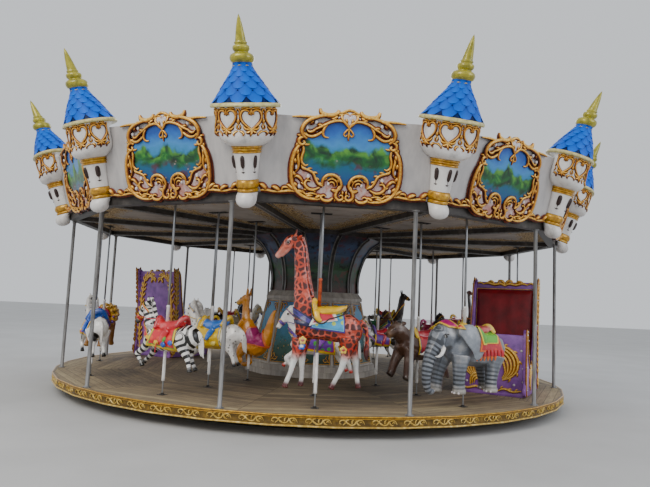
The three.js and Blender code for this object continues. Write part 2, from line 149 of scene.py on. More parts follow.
def evaluated(made):
    deps = bpy.context.evaluated_depsgraph_get()
    mesh = bpy.data.meshes.new_from_object(made.evaluated_get(deps))
    source = made.data
    bpy.data.objects.remove(made)
    if source.users == 0:
        (bpy.data.curves if isinstance(source, bpy.types.Curve) else bpy.data.meshes).remove(source)
    return mesh


# Smooth points through the given ones; each has any number of values.
def smoothPath(points, steps=3):
    if len(points) < 3 or steps < 2:
        return [tuple(p) for p in points]
    path = []
    last = len(points) - 1
    for index in range(last):
        p0, p1 = points[max(index - 1, 0)], points[index]
        p2, p3 = points[index + 1], points[min(index + 2, last)]
        for step in range(steps):
            t = step / steps
            path.append(tuple(
                0.5 * (2 * b + (c - a) * t + (2 * a - 5 * b + 4 * c - d) * t * t + (3 * b - a - 3 * c + d)
                    * t ** 3)
                for a, b, c, d in zip(p0, p1, p2, p3)))
    path.append(tuple(points[-1]))
    return path


# Round tubes along strokes of (x, y, z, radius), as one mesh.
def tubes(strokes, sides=2, steps=3):
    curve = bpy.data.curves.new("strokes", "CURVE")
    curve.dimensions = "3D"
    curve.bevel_depth = 1.0
    curve.bevel_resolution = sides - 1
    curve.use_fill_caps = True
    for stroke in strokes:
        path = smoothPath(stroke, steps)
        spline = curve.splines.new("POLY")
        spline.points.add(len(path) - 1)
        for point, (x, y, z, radius) in zip(spline.points, path):
            point.co = (x, y, z, 1.0)
            point.radius = max(radius, 0.0005)
    return evaluated(meshObject("strokes", curve))


# A full turn of [radius, height] points about Z.
def lathe(profile, sides=32, turn=0.0):
    bm = bmesh.new()
    row = [bm.verts.new((r, 0.0, z)) for r, z in profile]
    edges = [bm.edges.new(pair) for pair in zip(row, row[1:])]
    if turn:
        bmesh.ops.rotate(bm, verts=bm.verts, cent=(0, 0, 0), matrix=Matrix.Rotation(turn, 3, "Z"))
    bmesh.ops.spin(bm, geom=row + edges, cent=(0, 0, 0), axis=(0, 0, 1), angle=math.tau,
        steps=sides, use_merge=True, use_duplicate=False)
    bmesh.ops.remove_doubles(bm, verts=bm.verts, dist=1e-5)
    bmesh.ops.recalc_face_normals(bm, faces=bm.faces)
    return meshOf(bm)


def ball(place, radii, rings=8):
    bm = bmesh.new()
    bmesh.ops.create_uvsphere(bm, u_segments=rings * 2, v_segments=rings, radius=1.0)
    bmesh.ops.scale(bm, vec=radii, verts=bm.verts)
    bmesh.ops.translate(bm, vec=place, verts=bm.verts)
    return meshOf(bm)


def boxMesh(low, high, bevel=0.0):
    bm = bmesh.new()
    bmesh.ops.create_cube(bm, size=1.0)
    low, high = Vector(low), Vector(high)
    bmesh.ops.scale(bm, vec=high - low, verts=bm.verts)
    bmesh.ops.translate(bm, vec=(low + high) / 2, verts=bm.verts)
    if bevel:
        bmesh.ops.bevel(bm, geom=bm.edges, offset=bevel, offset_type="OFFSET", segments=2,
            profile=0.5, affect="EDGES", material=-1, clamp_overlap=True)
    return meshOf(bm)


def placed(mesh, matrix):
    mesh.transform(matrix)
    return mesh


# A flat sheet from its outline in X and Z, with a thickness along +Y.
def flatShape(outline, low, high, steps=3, bevel=0.0):
    curve = bpy.data.curves.new("outline", "CURVE")
    curve.dimensions = "2D"
    curve.fill_mode = "BOTH"
    curve.extrude = (high - low) / 2 - bevel
    curve.bevel_depth = bevel
    curve.bevel_resolution = 1
    path = smoothPath(list(outline) + [outline[0]], steps)[:-1]
    spline = curve.splines.new("POLY")
    spline.points.add(len(path) - 1)
    spline.use_cyclic_u = True
    for point, (x, z) in zip(spline.points, path):
        point.co = (x, z, 0.0, 1.0)
    mesh = evaluated(meshObject("outline", curve))
    turn = Matrix.Rotation(math.radians(90), 4, "X")
    return placed(mesh, Matrix.Translation((0, (low + high) / 2, 0)) @ turn)


# Several (mesh, material) parts as one mesh with those materials.
def joined(parts, smooth=True):
    objects = []
    for mesh, material in parts:
        mesh.materials.clear()
        if material:
            mesh.materials.append(material)
        if smooth:
            mesh.shade_smooth()
        else:
            mesh.shade_flat()
        objects.append(meshObject("part", mesh))
    if len(objects) > 1:
        with bpy.context.temp_override(active_object=objects[0], object=objects[0],
                selected_objects=objects, selected_editable_objects=objects):
            bpy.ops.object.join()
    mesh = objects[0].data
    bpy.data.objects.remove(objects[0])
    return mesh


def addPiece(name, mesh, body, stands=()):
    made = meshObject(name, mesh)
    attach(made, body)
    if stands:
        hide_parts(*stands)
    return made


# How far each point faces the outside and the light above, from 0 to 1, kept on the mesh for painted
# highlights where it faces that way and painted shade where it turns away. Above the height of twoSided the
# carving is seen from both sides.
def setPaintedShading(mesh, outward, twoSided=math.inf):
    layer = mesh.attributes.new("painted_shading", "FLOAT", "POINT")
    for vertex in mesh.vertices:
        share = vertex.normal.dot(outward(vertex.co))
        layer.data[vertex.index].value = max(0.0, abs(share) if vertex.co.z > twoSided else share)


def setLocal(mesh, shift=(0.0, 0.0, 0.0)):
    layer = mesh.attributes.new("local", "FLOAT_VECTOR", "POINT")
    for vertex in mesh.vertices:
        layer.data[vertex.index].vector = vertex.co + Vector(shift)


def radial(angle, radius, height=0.0):
    turn = math.radians(angle)
    return Vector((radius * math.sin(turn), -radius * math.cos(turn), height))


# A frame at an angle round the ride with +Y outward.
def station(angle, radius, height=0.0):
    return Matrix.Translation(radial(angle, radius, height)) @ Matrix.Rotation(math.radians(angle + 180),
        4, "Z")


# Where the animals and chariots of a bay stand.
def bayPlace(bay, radius):
    return station(30 * bay - 3, radius)


def cornerPlace(index):
    return (station(15 + 30 * index, ride["crownBottomRadius"], ride["crownBottom"])
        @ Matrix.Rotation(-crownLean, 4, "X"))


def sidePlace(index):
    return (station(30 * index, ride["crownBottomRadius"] * math.cos(halfBay), ride["crownBottom"])
        @ Matrix.Rotation(-sideLean, 4, "X"))


# Coordinates inside one of the twelve bays, for patterns that repeat round the ride.
def baySpot(add):
    x = add("SeparateXYZ", places(add))
    y = x.node.outputs["Y"]
    angle = add("ARCTAN2", x, add("MULTIPLY", y, -1.0))
    sector = add("MULTIPLY", add("ROUND", add("DIVIDE", angle, baySpan)), baySpan)
    sine, cosine = add("SINE", sector), add("COSINE", sector)
    reach = add("SQRT", add("ADD", add("MULTIPLY", x, x), add("MULTIPLY", y, y)))
    off = add("ABSOLUTE", add("SUBTRACT", angle, sector))
    return {
        "sector": sector,
        "reach": reach,
        "outward": add("SUBTRACT", add("MULTIPLY", x, sine), add("MULTIPLY", y, cosine)),
        "across": add("ADD", add("MULTIPLY", x, cosine), add("MULTIPLY", y, sine)),
        "sideEdge": add("MULTIPLY", add("SUBTRACT", halfBay, off), reach),
    }


print("materials")

# Carved ornament under gold enamel, with painted light: red-brown painted shade where it turns away from the
# light above, pale yellow painted highlight where it faces it.
goldCarving, add, shader = newMaterial("gold_enamel_carving", Roughness=0.34, Metallic=0.25)
painted_shading = add("Attribute", output="Fac", attribute_name="painted_shading")
spots = add("TexNoise", places(add), 38.0, 4.0, 0.55)
lift = add("ADD", painted_shading, add("MULTIPLY", add("SUBTRACT", spots, 0.5), 0.5), use_clamp=True)
finish(add, shader, add("ValToRGB", lift, stops=[(0.0, "#240a06"), (0.36, "#66290e"), (0.60, "#ac6a18"),
    (0.80, "#dca030"), (1.0, "#ffe084")]), add("TexNoise", places(add), 90.0, 4.0, 0.55), 0.2, 0.002)

# Solid bands and mouldings in gold enamel, worn thin along a few patches.
goldBand = mottled("gold_enamel_band", [(0.3, "#92640e"), (0.52, "#c28e18"), (0.75, "#e0b83c")], 22.0,
    6.0, bump=(0.15, 0.002), fine=60.0, Roughness=0.3, Metallic=0.3, Coat_Weight=0.3)

# Dull gold ground of the deck's edge, painted darker than its raised scrolls as the shade in the hollows
# between them.
goldRim = mottled("gold_enamel_rim_painted_shade", [(0.25, "#382806"), (0.55, "#6e5210"), (0.8, "#a07c24")], 14.0,
    6.0, bump=(0.3, 0.003), Roughness=0.42, Metallic=0.2)

# Raised scrolls and lower lip of the deck's edge: gold enamel painted pale as a highlight where they catch
# the light.
highlightGold = mottled("gold_enamel_painted_highlight", [(0.3, "#a07c2c"), (0.52, "#d0ac50"), (0.75, "#f4dc92")], 18.0,
    5.0, bump=(0.12, 0.002), Roughness=0.34, Metallic=0.2)

# Olive gold of the turret tips, plain enamel with a soft gloss.
goldTip = mottled("olive_gold_enamel", [(0.3, "#78741a"), (0.55, "#a49a24"), (0.8, "#c4ba3e")], 16.0,
    5.0, bump=(0.1, 0.002), fine=45.0, Roughness=0.33, Metallic=0.15, Coat_Weight=0.4)

# Gel coat of the crown: nearly white, greyer in rain streaks that run down from the top.
crownWhite, add, shader = newMaterial("white_gel_coat", Roughness=0.42, Coat_Weight=0.15)
streaks = add("TexNoise", places(add, (5.0, 5.0, 0.7)), 1.6, 6.0, 0.62)
patches = add("TexNoise", places(add), 1.1, 3.0, 0.55)
tone = add("ADD", add("MULTIPLY", streaks, 0.6), add("MULTIPLY", patches, 0.4))
finish(add, shader, add("ValToRGB", tone, stops=[(0.3, "#a5a2a2"), (0.5, "#bcb8b6"), (0.7, "#c8c4c1")]),
    add("TexNoise", places(add), 6.0, 3.0, 0.55), 0.12, 0.01)

# Brighter white gel coat of the turrets with fine dust.
turretWhite = mottled("turret_gel_coat", [(0.25, "#b4b0ac"), (0.45, "#dcd8d4"), (0.7, "#e9e6e2")], 7.0,
    6.0, 0.6, stretch=(1.0, 1.0, 0.5), bump=(0.08, 0.003), fine=30.0, Roughness=0.36, Coat_Weight=0.2)

# Blue enamel scales with painted shade: each a little lighter on its crown, and painted deep blue where it
# turns under towards the cone.
blueScale, add, shader = newMaterial("blue_enamel_scales", Roughness=0.5, Specular_IOR_Level=0.15)
painted_shading = add("Attribute", output="Fac", attribute_name="painted_shading")
cloud = add("TexNoise", places(add), 9.0, 4.0, 0.55)
lift = add("ADD", painted_shading, add("MULTIPLY", add("SUBTRACT", cloud, 0.5), 0.35), use_clamp=True)
finish(add, shader, add("ValToRGB", lift, stops=[(0.0, "#001a4c"), (0.25, "#003fa0"), (0.5, "#005ac8"),
    (1.0, "#006ae4")]), add("TexNoise", places(add), 40.0, 4.0, 0.55), 0.12, 0.002)

# Dark brown enamel in the small windows.
windowBrown = mottled("window_brown_enamel", [(0.3, "#1d0f0b"), (0.7, "#38201a")], 50.0, Roughness=0.35)

# Pale straw-yellow enamel of the eave rims.
eaveYellow = mottled("straw_enamel", [(0.3, "#a89a5a"), (0.6, "#d2c88a")], 18.0, 5.0,
    bump=(0.1, 0.002), fine=50.0, Roughness=0.38, Coat_Weight=0.2)

# Pale field of the carved frames, airbrushed with rose and red-brown in soft patches.
frameRose, add, shader = newMaterial("rose_white_gel_coat", Roughness=0.45)
shade = add("TexNoise", places(add), 9.0, 4.0, 0.6, Distortion=0.6)
finish(add, shader, add("ValToRGB", shade, stops=[(0.3, "#a4604e"), (0.46, "#b98f86"), (0.6, "#c4b4b2"),
    (0.8, "#d2cbca")]), shade, 0.2, 0.003)

# Red-brown line that runs beside every carved scroll: airbrushed colour, and painted shade beside the raised
# carving.
scrollShade = mottled("red_brown_airbrush_and_painted_shade", [(0.3, "#4a160a"), (0.5, "#7c2c14"), (0.75, "#a8573a")],
    16.0, 4.0, 0.6, Roughness=0.5)

# Pearl-white knobs set into the carving.
pearlWhite = mottled("pearl_enamel", [(0.3, "#b9aeb0"), (0.65, "#efe9ea")], 60.0,
    Roughness=0.22, Coat_Weight=0.5)

# Grey painted tube of the poles, scuffed.
poleGrey = mottled("grey_painted_steel", [(0.28, "#5c5a58"), (0.5, "#838281"), (0.78, "#a3a2a0")], 26.0,
    6.0, stretch=(1.0, 1.0, 0.12), bump=(0.12, 0.002), Roughness=0.45, Metallic=0.35)

# Bright drawn steel of the lifting rods with lengthwise draw lines and oil smears.
rodSteel = mottled("drawn_steel_rod", [(0.3, "#77787a"), (0.6, "#a5a7a9")], 60.0, 5.0,
    stretch=(1.0, 1.0, 0.05), bump=(0.1, 0.001), Roughness=0.3, Metallic=0.85)

# Dark enamel of the roof frame, mottled with grey dust.
darkFrame = mottled("dark_enamel_steel", [(0.3, "#262220"), (0.6, "#423d39"), (0.85, "#6b645c")], 8.0,
    6.0, bump=(0.2, 0.003), Roughness=0.5, Metallic=0.2)

# Black bitumen paint of the ground frame with dry dust.
groundBlack = mottled("bitumen_painted_steel", [(0.35, "#151515"), (0.7, "#3a3835")], 5.0, 7.0,
    bump=(0.3, 0.004), Roughness=0.7, Metallic=0.1)

# Deck boards laid straight across each bay, grey-brown, weathered, with dark joints and grain, with painted
# light: paler towards the rim where daylight falls, darker further in as painted shade under the roof.
deckBoards, add, shader = newMaterial("weathered_boards", Roughness=0.72)
bay = baySpot(add)
board = add("DIVIDE", bay["outward"], 0.125)
joint = add("FRACT", board)
pick = add("CombineXYZ", add("FLOOR", board), bay["sector"], 0.0)
lone = add("TexWhiteNoise", pick, noise_dimensions="3D")
grainAt = add("CombineXYZ", add("MULTIPLY", bay["across"], 0.12), bay["outward"], lone)
grain = add("TexNoise", grainAt, 34.0, 7.0, 0.65, Distortion=0.4)
worn = add("TexNoise", places(add), 1.3, 6.0, 0.6)
# Painted light: the boards grow paler towards the rim and stay darker further in, where the roof shades
# them.
paintedRimLight = add("MULTIPLY", add("MapRange", bay["reach"], 3.0, 4.9), 0.16)
tone = add("ADD", add("ADD", add("MULTIPLY", grain, 0.5), paintedRimLight),
    add("ADD", add("MULTIPLY", lone, 0.16), add("MULTIPLY", worn, 0.34)))
wood = add("ValToRGB", tone, stops=[(0.3, "#4c4236"), (0.48, "#6c5f4c"), (0.62, "#8c7b60"),
    (0.8, "#b3a27c")])
edge = add("MINIMUM", joint, add("SUBTRACT", 1.0, joint))
dark = add("MAXIMUM", add("LESS_THAN", edge, 0.045), add("LESS_THAN", bay["sideEdge"], 0.006))
finish(add, shader, add("Mix", add("MULTIPLY", dark, 0.6), wood, colour("#33291f"), data_type="RGBA"),
    add("SUBTRACT", grain, dark), 0.35, 0.004)

# Ceiling sheets: faded cream and brown print under dust, with darker borders along the beams.
ceilingPrint, add, shader = newMaterial("faded_ceiling_print", Roughness=0.8)
bay = baySpot(add)
near = add("MINIMUM", bay["sideEdge"], add("SUBTRACT", 4.55, bay["reach"]))
scroll = add("TexNoise", places(add), 5.5, 2.0, 0.5, Distortion=2.2)
borderEdge = add("ADD", near, add("MULTIPLY", add("SUBTRACT", scroll, 0.5), 0.8))
inside = add("MapRange", borderEdge, 0.36, 0.40)
grime = add("TexNoise", places(add), 2.2, 6.0, 0.65)
cream = add("ValToRGB", grime, stops=[(0.3, "#857b72"), (0.5, "#9d948b"), (0.75, "#b3aaa1")])
wave = add("SINE", add("MULTIPLY", scroll, 58.0))
scrolls = add("ValToRGB", add("MapRange", wave, -1.0, 1.0), stops=[(0.1, "#3a2414"), (0.4, "#7c5a2c"),
    (0.65, "#b08a4c"), (0.9, "#d8c090")])
finish(add, shader, add("Mix", inside, scrolls, cream, data_type="RGBA"), grime, 0.15, 0.004)

# Roof sheet seen only from above: grey-white coated fabric with dust.
roofSheet, add, shader = newMaterial("coated_roof_sheet", Roughness=0.62)
dust = add("TexNoise", places(add), 1.8, 7.0, 0.6)
bay = baySpot(add)
seam = add("LESS_THAN", add("MINIMUM", bay["sideEdge"],
    add("ABSOLUTE", add("SUBTRACT", bay["outward"], 2.7))), 0.02)
cloth = add("ValToRGB", dust, stops=[(0.3, "#9d9992"), (0.55, "#b4b0a8"), (0.8, "#c6c3bc")])
threads = add("TexNoise", places(add), 220.0, 4.0, 0.55)
finish(add, shader, add("Mix", add("MULTIPLY", seam, 0.45), cloth, colour("#5a564f"), data_type="RGBA"),
    add("ADD", dust, add("MULTIPLY", threads, 0.1)), 0.35, 0.012)

print("camera, light and floor")

camera = bpy.data.objects.new("camera", bpy.data.cameras.new("camera"))
bpy.context.scene.collection.objects.link(camera)
bpy.context.scene.camera = camera
camera.data.sensor_width = 36.0
camera.data.lens = 32.307
camera.data.clip_end = 200.0
right = Vector((0.99484499, -0.0904941, 0.04576314))
upward = Vector((-0.05422866, -0.0934174, 0.9941491))
forward = Vector((0.08568955, 0.99150593, 0.09784321))
camera.matrix_world = Matrix.Translation((-0.89899, -12.60328, 1.7723)) @ Matrix((
    (right.x, upward.x, -forward.x, 0.0), (right.y, upward.y, -forward.y, 0.0),
    (right.z, upward.z, -forward.z, 0.0), (0.0, 0.0, 0.0, 1.0)))

world = bpy.data.worlds.new("soft_room")
bpy.context.scene.world = world
world.use_nodes = True
world.node_tree.nodes["Background"].inputs["Color"].default_value = colour("#e9edf2")
world.node_tree.nodes["Background"].inputs["Strength"].default_value = 0.94


def areaLight(name, place, aim, power, code):
    lamp = bpy.data.lights.new(name, "AREA")
    lamp.shape = "DISK"
    lamp.size = 9.0
    lamp.energy = power
    lamp.color = colour(code)[:3]
    made = bpy.data.objects.new(name, lamp)
    bpy.context.scene.collection.objects.link(made)
    made.location = place
    made.rotation_euler = (Vector(aim) - Vector(place)).to_track_quat("-Z", "Y").to_euler()


areaLight("key_light", (-9, -14, 12), (0, 0, 2), 1500, "#fffaf2")
areaLight("fill_light", (12, -12, 8), (0, 0, 2), 600, "#f2f6ff")
areaLight("back_light", (3, 14, 12), (0, 0, 3), 700, "#f6f8ff")

floorMesh = bpy.data.meshes.new("floor")
bm = bmesh.new()
bmesh.ops.create_grid(bm, x_segments=1, y_segments=1, size=60.0)
bmesh.ops.translate(bm, vec=(0, 0, -0.002), verts=bm.verts)
bm.to_mesh(floorMesh)
bm.free()
floorPale = mottled("pale_floor", [(0.3, "#b9b9b8"), (0.7, "#c4c4c3")], 0.6, 4.0, Roughness=0.8)
floorMesh.materials.append(floorPale)
meshObject("floor", floorMesh)

print("crown wall")

wallMake = {
    "ledgeHeight": 3.98,
    "ledgeWidth": 0.053,
    "ledgeThick": 0.015,
    "flange": 0.014,
    "flangeInner": 4.82,
}


def wallRadius(height):
    return ride["crownBottomRadius"] + (height - ride["crownBottom"]) * crownSlope


def makeWall():
    low, high, thick = ride["crownBottom"], ride["crownTop"], ride["crownThickness"]
    ledge = wallMake["ledgeHeight"]
    under = ledge - wallMake["ledgeThick"]
    inner = wallRadius(ledge) - thick - wallMake["ledgeWidth"]
    flange = low + wallMake["flange"]
    profile = [(wallRadius(low), low), (wallRadius(high), high), (wallRadius(high) - thick, high),
        (wallRadius(ledge) - thick, ledge), (inner, ledge), (inner, under),
        (wallRadius(under) - thick, under), (wallRadius(flange) - thick, flange),
        (wallMake["flangeInner"], flange), (wallMake["flangeInner"], low), (wallRadius(low), low)]
    return lathe(profile, 12, halfBay)


addPiece("crown_white_wall", joined([(makeWall(), crownWhite)], smooth=False), "turntable",
    ["crown_wall"])

print("roof cloth")

# Coated fabric stretched from the peak to the crown's inner ledge, a little slack between the corners.
clothMake = {"peak": 4.896, "edge": 4.0, "corner": 5.2, "sag": 0.05, "thickness": 0.003, "rows": 18,
    "hem": 0.009}


def makeRoofCloth():
    peak, edge, corner, rows = [clothMake[key] for key in ("peak", "edge", "corner", "rows")]
    mesh = lathe([(corner * row / rows, peak + (edge - peak) * row / rows) for row in range(rows + 1)], 96)
    if mesh.polygons[0].normal.z < 0:
        mesh.flip_normals()
    for vertex in mesh.vertices:
        point = vertex.co
        off = (math.atan2(point.x, -point.y) + halfBay) % baySpan - halfBay
        run = math.hypot(point.x, point.y) / corner
        point.z -= clothMake["sag"] * math.cos(6 * off) * math.sin(math.pi * run)
        point.xy *= math.cos(halfBay) / math.cos(off)
    mesh.materials.append(roofSheet)
    return mesh


roofCloth = addPiece("roof_cloth", makeRoofCloth(), "turntable", ["roof"])
thicken = roofCloth.modifiers.new("cloth", "SOLIDIFY")
thicken.thickness = clothMake["thickness"]
thicken.offset = -1.0
hemRing = [(clothMake["corner"] - 0.012 + clothMake["hem"] * math.cos(a), clothMake["edge"] + 0.003
    + clothMake["hem"] * math.sin(a)) for a in [math.tau * i / 8 for i in range(9)]]
roofHem = addPiece("roof_hem", joined([(lathe(hemRing, 12, halfBay), roofSheet)]), "turntable")

print("picture frames")

# Half of a picture frame, right of its middle: strokes of (x, height along the wall, radius). Above
# "freeFrom" the carving stands free of the wall. The flat layers lie between two depths.
frameMake = {
    "depth": 0.036,
    "thickest": 0.033,
    "swell": 1.06,
    "freeFrom": 1.03,
    # The direction towards which the carving gets its painted highlight; parts turned away get painted
    # shade.
    "facing": (0.0, 0.84, 0.54),
    "pearlDepth": 0.022,
    "heartLayer": (0.012, 0.03),
    "openingLayer": (0.008, 0.022),
    "groundLayer": (0.001, 0.016),
    "strokes": mm([
        [(30, 1090, 12), (100, 1075, 22), (240, 1062, 26), (420, 1025, 30), (560, 955, 33),
            (625, 850, 33), (600, 765, 26), (545, 745, 12)],
        [(555, 735, 14), (600, 755, 22), (645, 730, 26), (655, 680, 26), (615, 650, 24), (575, 675, 20),
            (595, 705, 14)],
        [(630, 655, 20), (690, 575, 30), (728, 440, 33), (735, 280, 33), (712, 130, 32), (640, 20, 30),
            (530, -45, 28), (400, -65, 24), (300, -50, 15)],
        [(0, 900, 16), (45, 965, 20), (130, 992, 23), (250, 965, 23), (360, 905, 22), (460, 855, 12)],
        [(260, 955, 14), (315, 905, 20), (345, 830, 22), (325, 775, 18), (265, 765, 10)],
        [(330, 860, 12), (400, 800, 22), (475, 765, 24), (545, 775, 20), (570, 810, 10)],
        [(430, 880, 10), (475, 835, 20), (525, 825, 18), (555, 855, 8)],
        [(600, 660, 12), (585, 570, 20), (605, 490, 22), (600, 420, 22), (555, 380, 18), (515, 395, 9)],
        [(645, 570, 12), (655, 490, 22), (640, 415, 24), (645, 340, 18), (675, 290, 10)],
        [(600, 400, 12), (585, 345, 18), (515, 325, 20), (440, 285, 20), (405, 215, 20), (365, 150, 20),
            (300, 120, 16)],
        [(300, 120, 14), (305, 200, 22), (250, 265, 26), (165, 275, 26), (90, 235, 24), (50, 160, 22),
            (70, 90, 20), (130, 55, 18), (180, 85, 12)],
        [(235, 200, 10), (180, 225, 16), (120, 195, 16), (100, 140, 10)],
        [(230, 145, 8), (190, 180, 14), (150, 165, 14), (140, 120, 8)],
        [(50, 150, 14), (100, 70, 22), (120, -10, 24), (75, -60, 24), (20, -40, 20), (30, 10, 14),
            (65, 0, 10)],
        [(150, -30, 12), (200, -75, 24), (280, -70, 26), (320, -30, 20), (280, 0, 14), (250, -20, 10)],
        [(340, 100, 12), (420, 60, 22), (500, 75, 24), (545, 130, 22), (520, 185, 16), (470, 180, 10)],
        [(560, 140, 12), (600, 200, 22), (650, 235, 22), (690, 215, 12)],
        [(370, 0, 10), (450, 15, 18), (520, -5, 16), (570, 45, 10)],
        [(150, 1135, 18), (165, 1085, 34), (225, 1055, 40), (310, 1052, 40), (380, 1080, 36),
            (400, 1140, 18)],
        [(0, 1135, 26), (50, 1125, 22), (100, 1098, 22), (150, 1100, 16)],
        [(0, 905, 14), (50, 955, 20), (100, 1020, 20), (105, 1075, 20), (65, 1100, 18), (20, 1080, 14),
            (0, 1045, 10)],
        [(0, 900, 14), (40, 860, 16), (65, 820, 14), (40, 795, 12), (15, 820, 10)],
        [(0, 880, 12), (0, 800, 18), (0, 740, 10)],
        [(340, 1035, 14), (480, 1020, 20), (620, 1018, 22), (760, 1008, 12)],
        [(580, 0, 16), (700, 32, 24), (820, 18, 22), (950, 8, 20), (1060, 22, 20), (1130, 15, 12)],
        [(720, 30, 10), (770, 75, 18), (830, 72, 18), (845, 35, 12)],
    ]),
    "pearls": mm([(665, 355, 18, 34), (500, 240, 26, 36), (615, 100, 26, 30), (470, -5, 22, 24),
        (225, 155, 20, 24), (440, 960, 22, 30), (210, 1010, 30, 20), (555, 880, 20, 30)]),
    "leaves": [(0, -1, 3, 0.07), (1, 1, 3, 0.06), (2, -1, 7, 0.08), (3, 1, 3, 0.06), (9, -1, 5, 0.055),
        (10, 1, 5, 0.055), (13, 1, 4, 0.05), (15, -1, 4, 0.05), (24, 1, 3, 0.10)],
    "opening": mm([(0, 930), (60, 975), (150, 980), (270, 950), (330, 850), (420, 790), (540, 750),
        (600, 630), (610, 480), (575, 370), (440, 290), (370, 160), (270, 200), (160, 250), (60, 200),
        (0, 140)]),
    "ground": mm([(0, 1080), (100, 1070), (160, 1000), (310, 930), (370, 840), (550, 740), (660, 640),
        (710, 480), (720, 280), (690, 120), (620, 30), (500, -40), (320, -50), (120, -55), (0, -50)]),
    "heart": mm([(0, 930), (55, 985), (85, 1040), (60, 1080), (20, 1065), (0, 1045)]),
}

# Plain painted scene, soft-edged and other in each frame: sky, green hills, and blooms on the water.
lakePainting, add, shader = newMaterial("lake_painting", Roughness=0.4, Coat_Weight=0.25)
local = add("Attribute", output="Vector", attribute_name="local")
up = add("SeparateXYZ", local, output="Z")
warp = add("TexNoise", local, 3.2, 4.0, 0.55)
height = add("ADD", up, add("MULTIPLY", add("SUBTRACT", warp, 0.5), 0.36))
sky = add("ValToRGB", add("ADD", height, add("MULTIPLY", add("TexNoise", local, 5.0, 4.0, 0.55),
    0.16)), stops=[(0.50, "#0a6474"), (0.62, "#1c7a9c"), (0.78, "#3c88c8"), (0.92, "#2464b8"),
    (1.05, "#1a4ca0")])
water = add("ValToRGB", add("ADD", height, add("MULTIPLY", add("TexNoise", local, 14.0, 4.0, 0.55),
    0.08)), stops=[(0.10, "#08306c"), (0.30, "#0a5084"), (0.5, "#0a6474")])
rise = add("TexNoise", places(add, (1.0, 0.0, 0.0), "local"), 2.6, 2.0, 0.55)
hillLine = add("ADD", 0.30, add("MULTIPLY", rise, 0.72))
leaves = add("TexNoise", local, 6.0, 4.0, 0.5, Distortion=0.8)
land = add("ValToRGB", leaves, stops=[(0.3, "#04241a"), (0.46, "#0a4822"), (0.6, "#186a28"),
    (0.78, "#58a430")])
crest = add("ABSOLUTE", add("SUBTRACT", add("SUBTRACT", hillLine, height), 0.05))
lit = add("MULTIPLY", add("MapRange", crest, 0.09, 0.02), add("MapRange", leaves, 0.38, 0.62))
land = add("Mix", add("MULTIPLY", lit, 0.6), land, colour("#6cae38"), data_type="RGBA")
shore = add("ADD", 0.28, add("MULTIPLY", leaves, 0.2))
isLand = add("MULTIPLY", add("MapRange", add("SUBTRACT", hillLine, height), -0.01, 0.05),
    add("MapRange", add("SUBTRACT", height, shore), -0.02, 0.06))
scenery = add("Mix", add("MapRange", height, 0.46, 0.54), water, sky, data_type="RGBA")
scenery = add("Mix", isLand, scenery, land, data_type="RGBA")
patches = add("TexNoise", local, 4.5, 2.0, 0.55)
afloat = add("MULTIPLY", add("MapRange", patches, 0.52, 0.60),
    add("MapRange", add("SUBTRACT", 0.46, height), 0.0, 0.08))
scenery = add("Mix", add("MULTIPLY", afloat, 0.75), scenery, colour("#54202a"), data_type="RGBA")
bloomAt = add("TexVoronoi", local, 14.0)
petals = add("MULTIPLY", add("MapRange", bloomAt, 0.24, 0.14), afloat)
scenery = add("Mix", add("MULTIPLY", petals, 0.8), scenery, colour("#d8c0b4"), data_type="RGBA")
finish(add, shader, scenery, add("TexNoise", local, 70.0, 4.0, 0.55), 0.12, 0.001)


def mirroredStrokes(strokes):
    return strokes + [[(-p[0],) + tuple(p[1:]) for p in stroke] for stroke in strokes
        if any(abs(p[0]) > 1e-6 for p in stroke)]


def mirroredOutline(half):
    return half + [(-x, z) for x, z in reversed(half) if x > 1e-6]


# Small curled leaves that grow from a stroke on one side, as strokes of their own.
def leavesOn(stroke, side, count, reach):
    path = smoothPath(stroke, 6)
    made = []
    for index in range(count):
        at = int((index + 0.7) / (count + 0.4) * (len(path) - 2))
        x, s, r = path[at]
        course = (Vector(path[at + 1][:2]) - Vector((x, s))).normalized()
        out = Vector((-course.y, course.x)) * side
        line = [(0.0, 0.0, 0.5), (0.35, 0.32, 1.0), (0.75, 0.60, 0.95), (1.2, 0.70, 0.25)]
        made.append([(x + reach * (a * course.x + b * out.x), s + reach * (a * course.y + b * out.y),
            reach * 0.3 * c) for a, b, c in line])
    return made


# Wide flat lines under strokes that lie in the X-Z plane, for the airbrushed red-brown and painted shade
# beside them.
def shadeUnder(strokes, depth):
    mesh = tubes([[(x, 0.0, z, r + 0.014) for x, y, z, r in stroke] for stroke in strokes], 1, 3)
    for vertex in mesh.vertices:
        vertex.co.y = depth + vertex.co.y * 0.08
    mesh.update()
    return mesh


def makePictureFrame():
    make = frameMake
    depth, free = make["depth"], make["freeFrom"]
    half = list(make["strokes"])
    for index, side, count, reach in make["leaves"]:
        half += leavesOn(make["strokes"][index], side, count, reach)
    strokes = [[(x, depth - 0.4 * (make["thickest"] - r) if s < free else 0.0, s, r * make["swell"])
        for x, s, r in stroke] for stroke in mirroredStrokes(half)]
    scrolls = tubes(strokes, sides=2, steps=3)
    setPaintedShading(scrolls, lambda point: Vector(make["facing"]), free)
    pearls = []
    for x, s, wide, tall in make["pearls"]:
        for side in (-1, 1):
            pearls.append((ball((side * x, make["pearlDepth"], s), (wide, make["pearlDepth"], tall),
                5), pearlWhite))
    heart = flatShape(mirroredOutline(make["heart"]), *make["heartLayer"], 2, 0.003)
    painting = flatShape(mirroredOutline(make["opening"]), *make["openingLayer"], 2)
    setLocal(painting)
    ground = flatShape(mirroredOutline(make["ground"]), *make["groundLayer"], 2, 0.003)
    shades = shadeUnder([stroke for stroke in strokes if max(p[2] for p in stroke) < free - 0.01],
        make["groundLayer"][1])
    return joined([(scrolls, goldCarving), (ground, frameRose), (painting, lakePainting),
        (shades, scrollShade), (heart, pearlWhite)] + pearls)


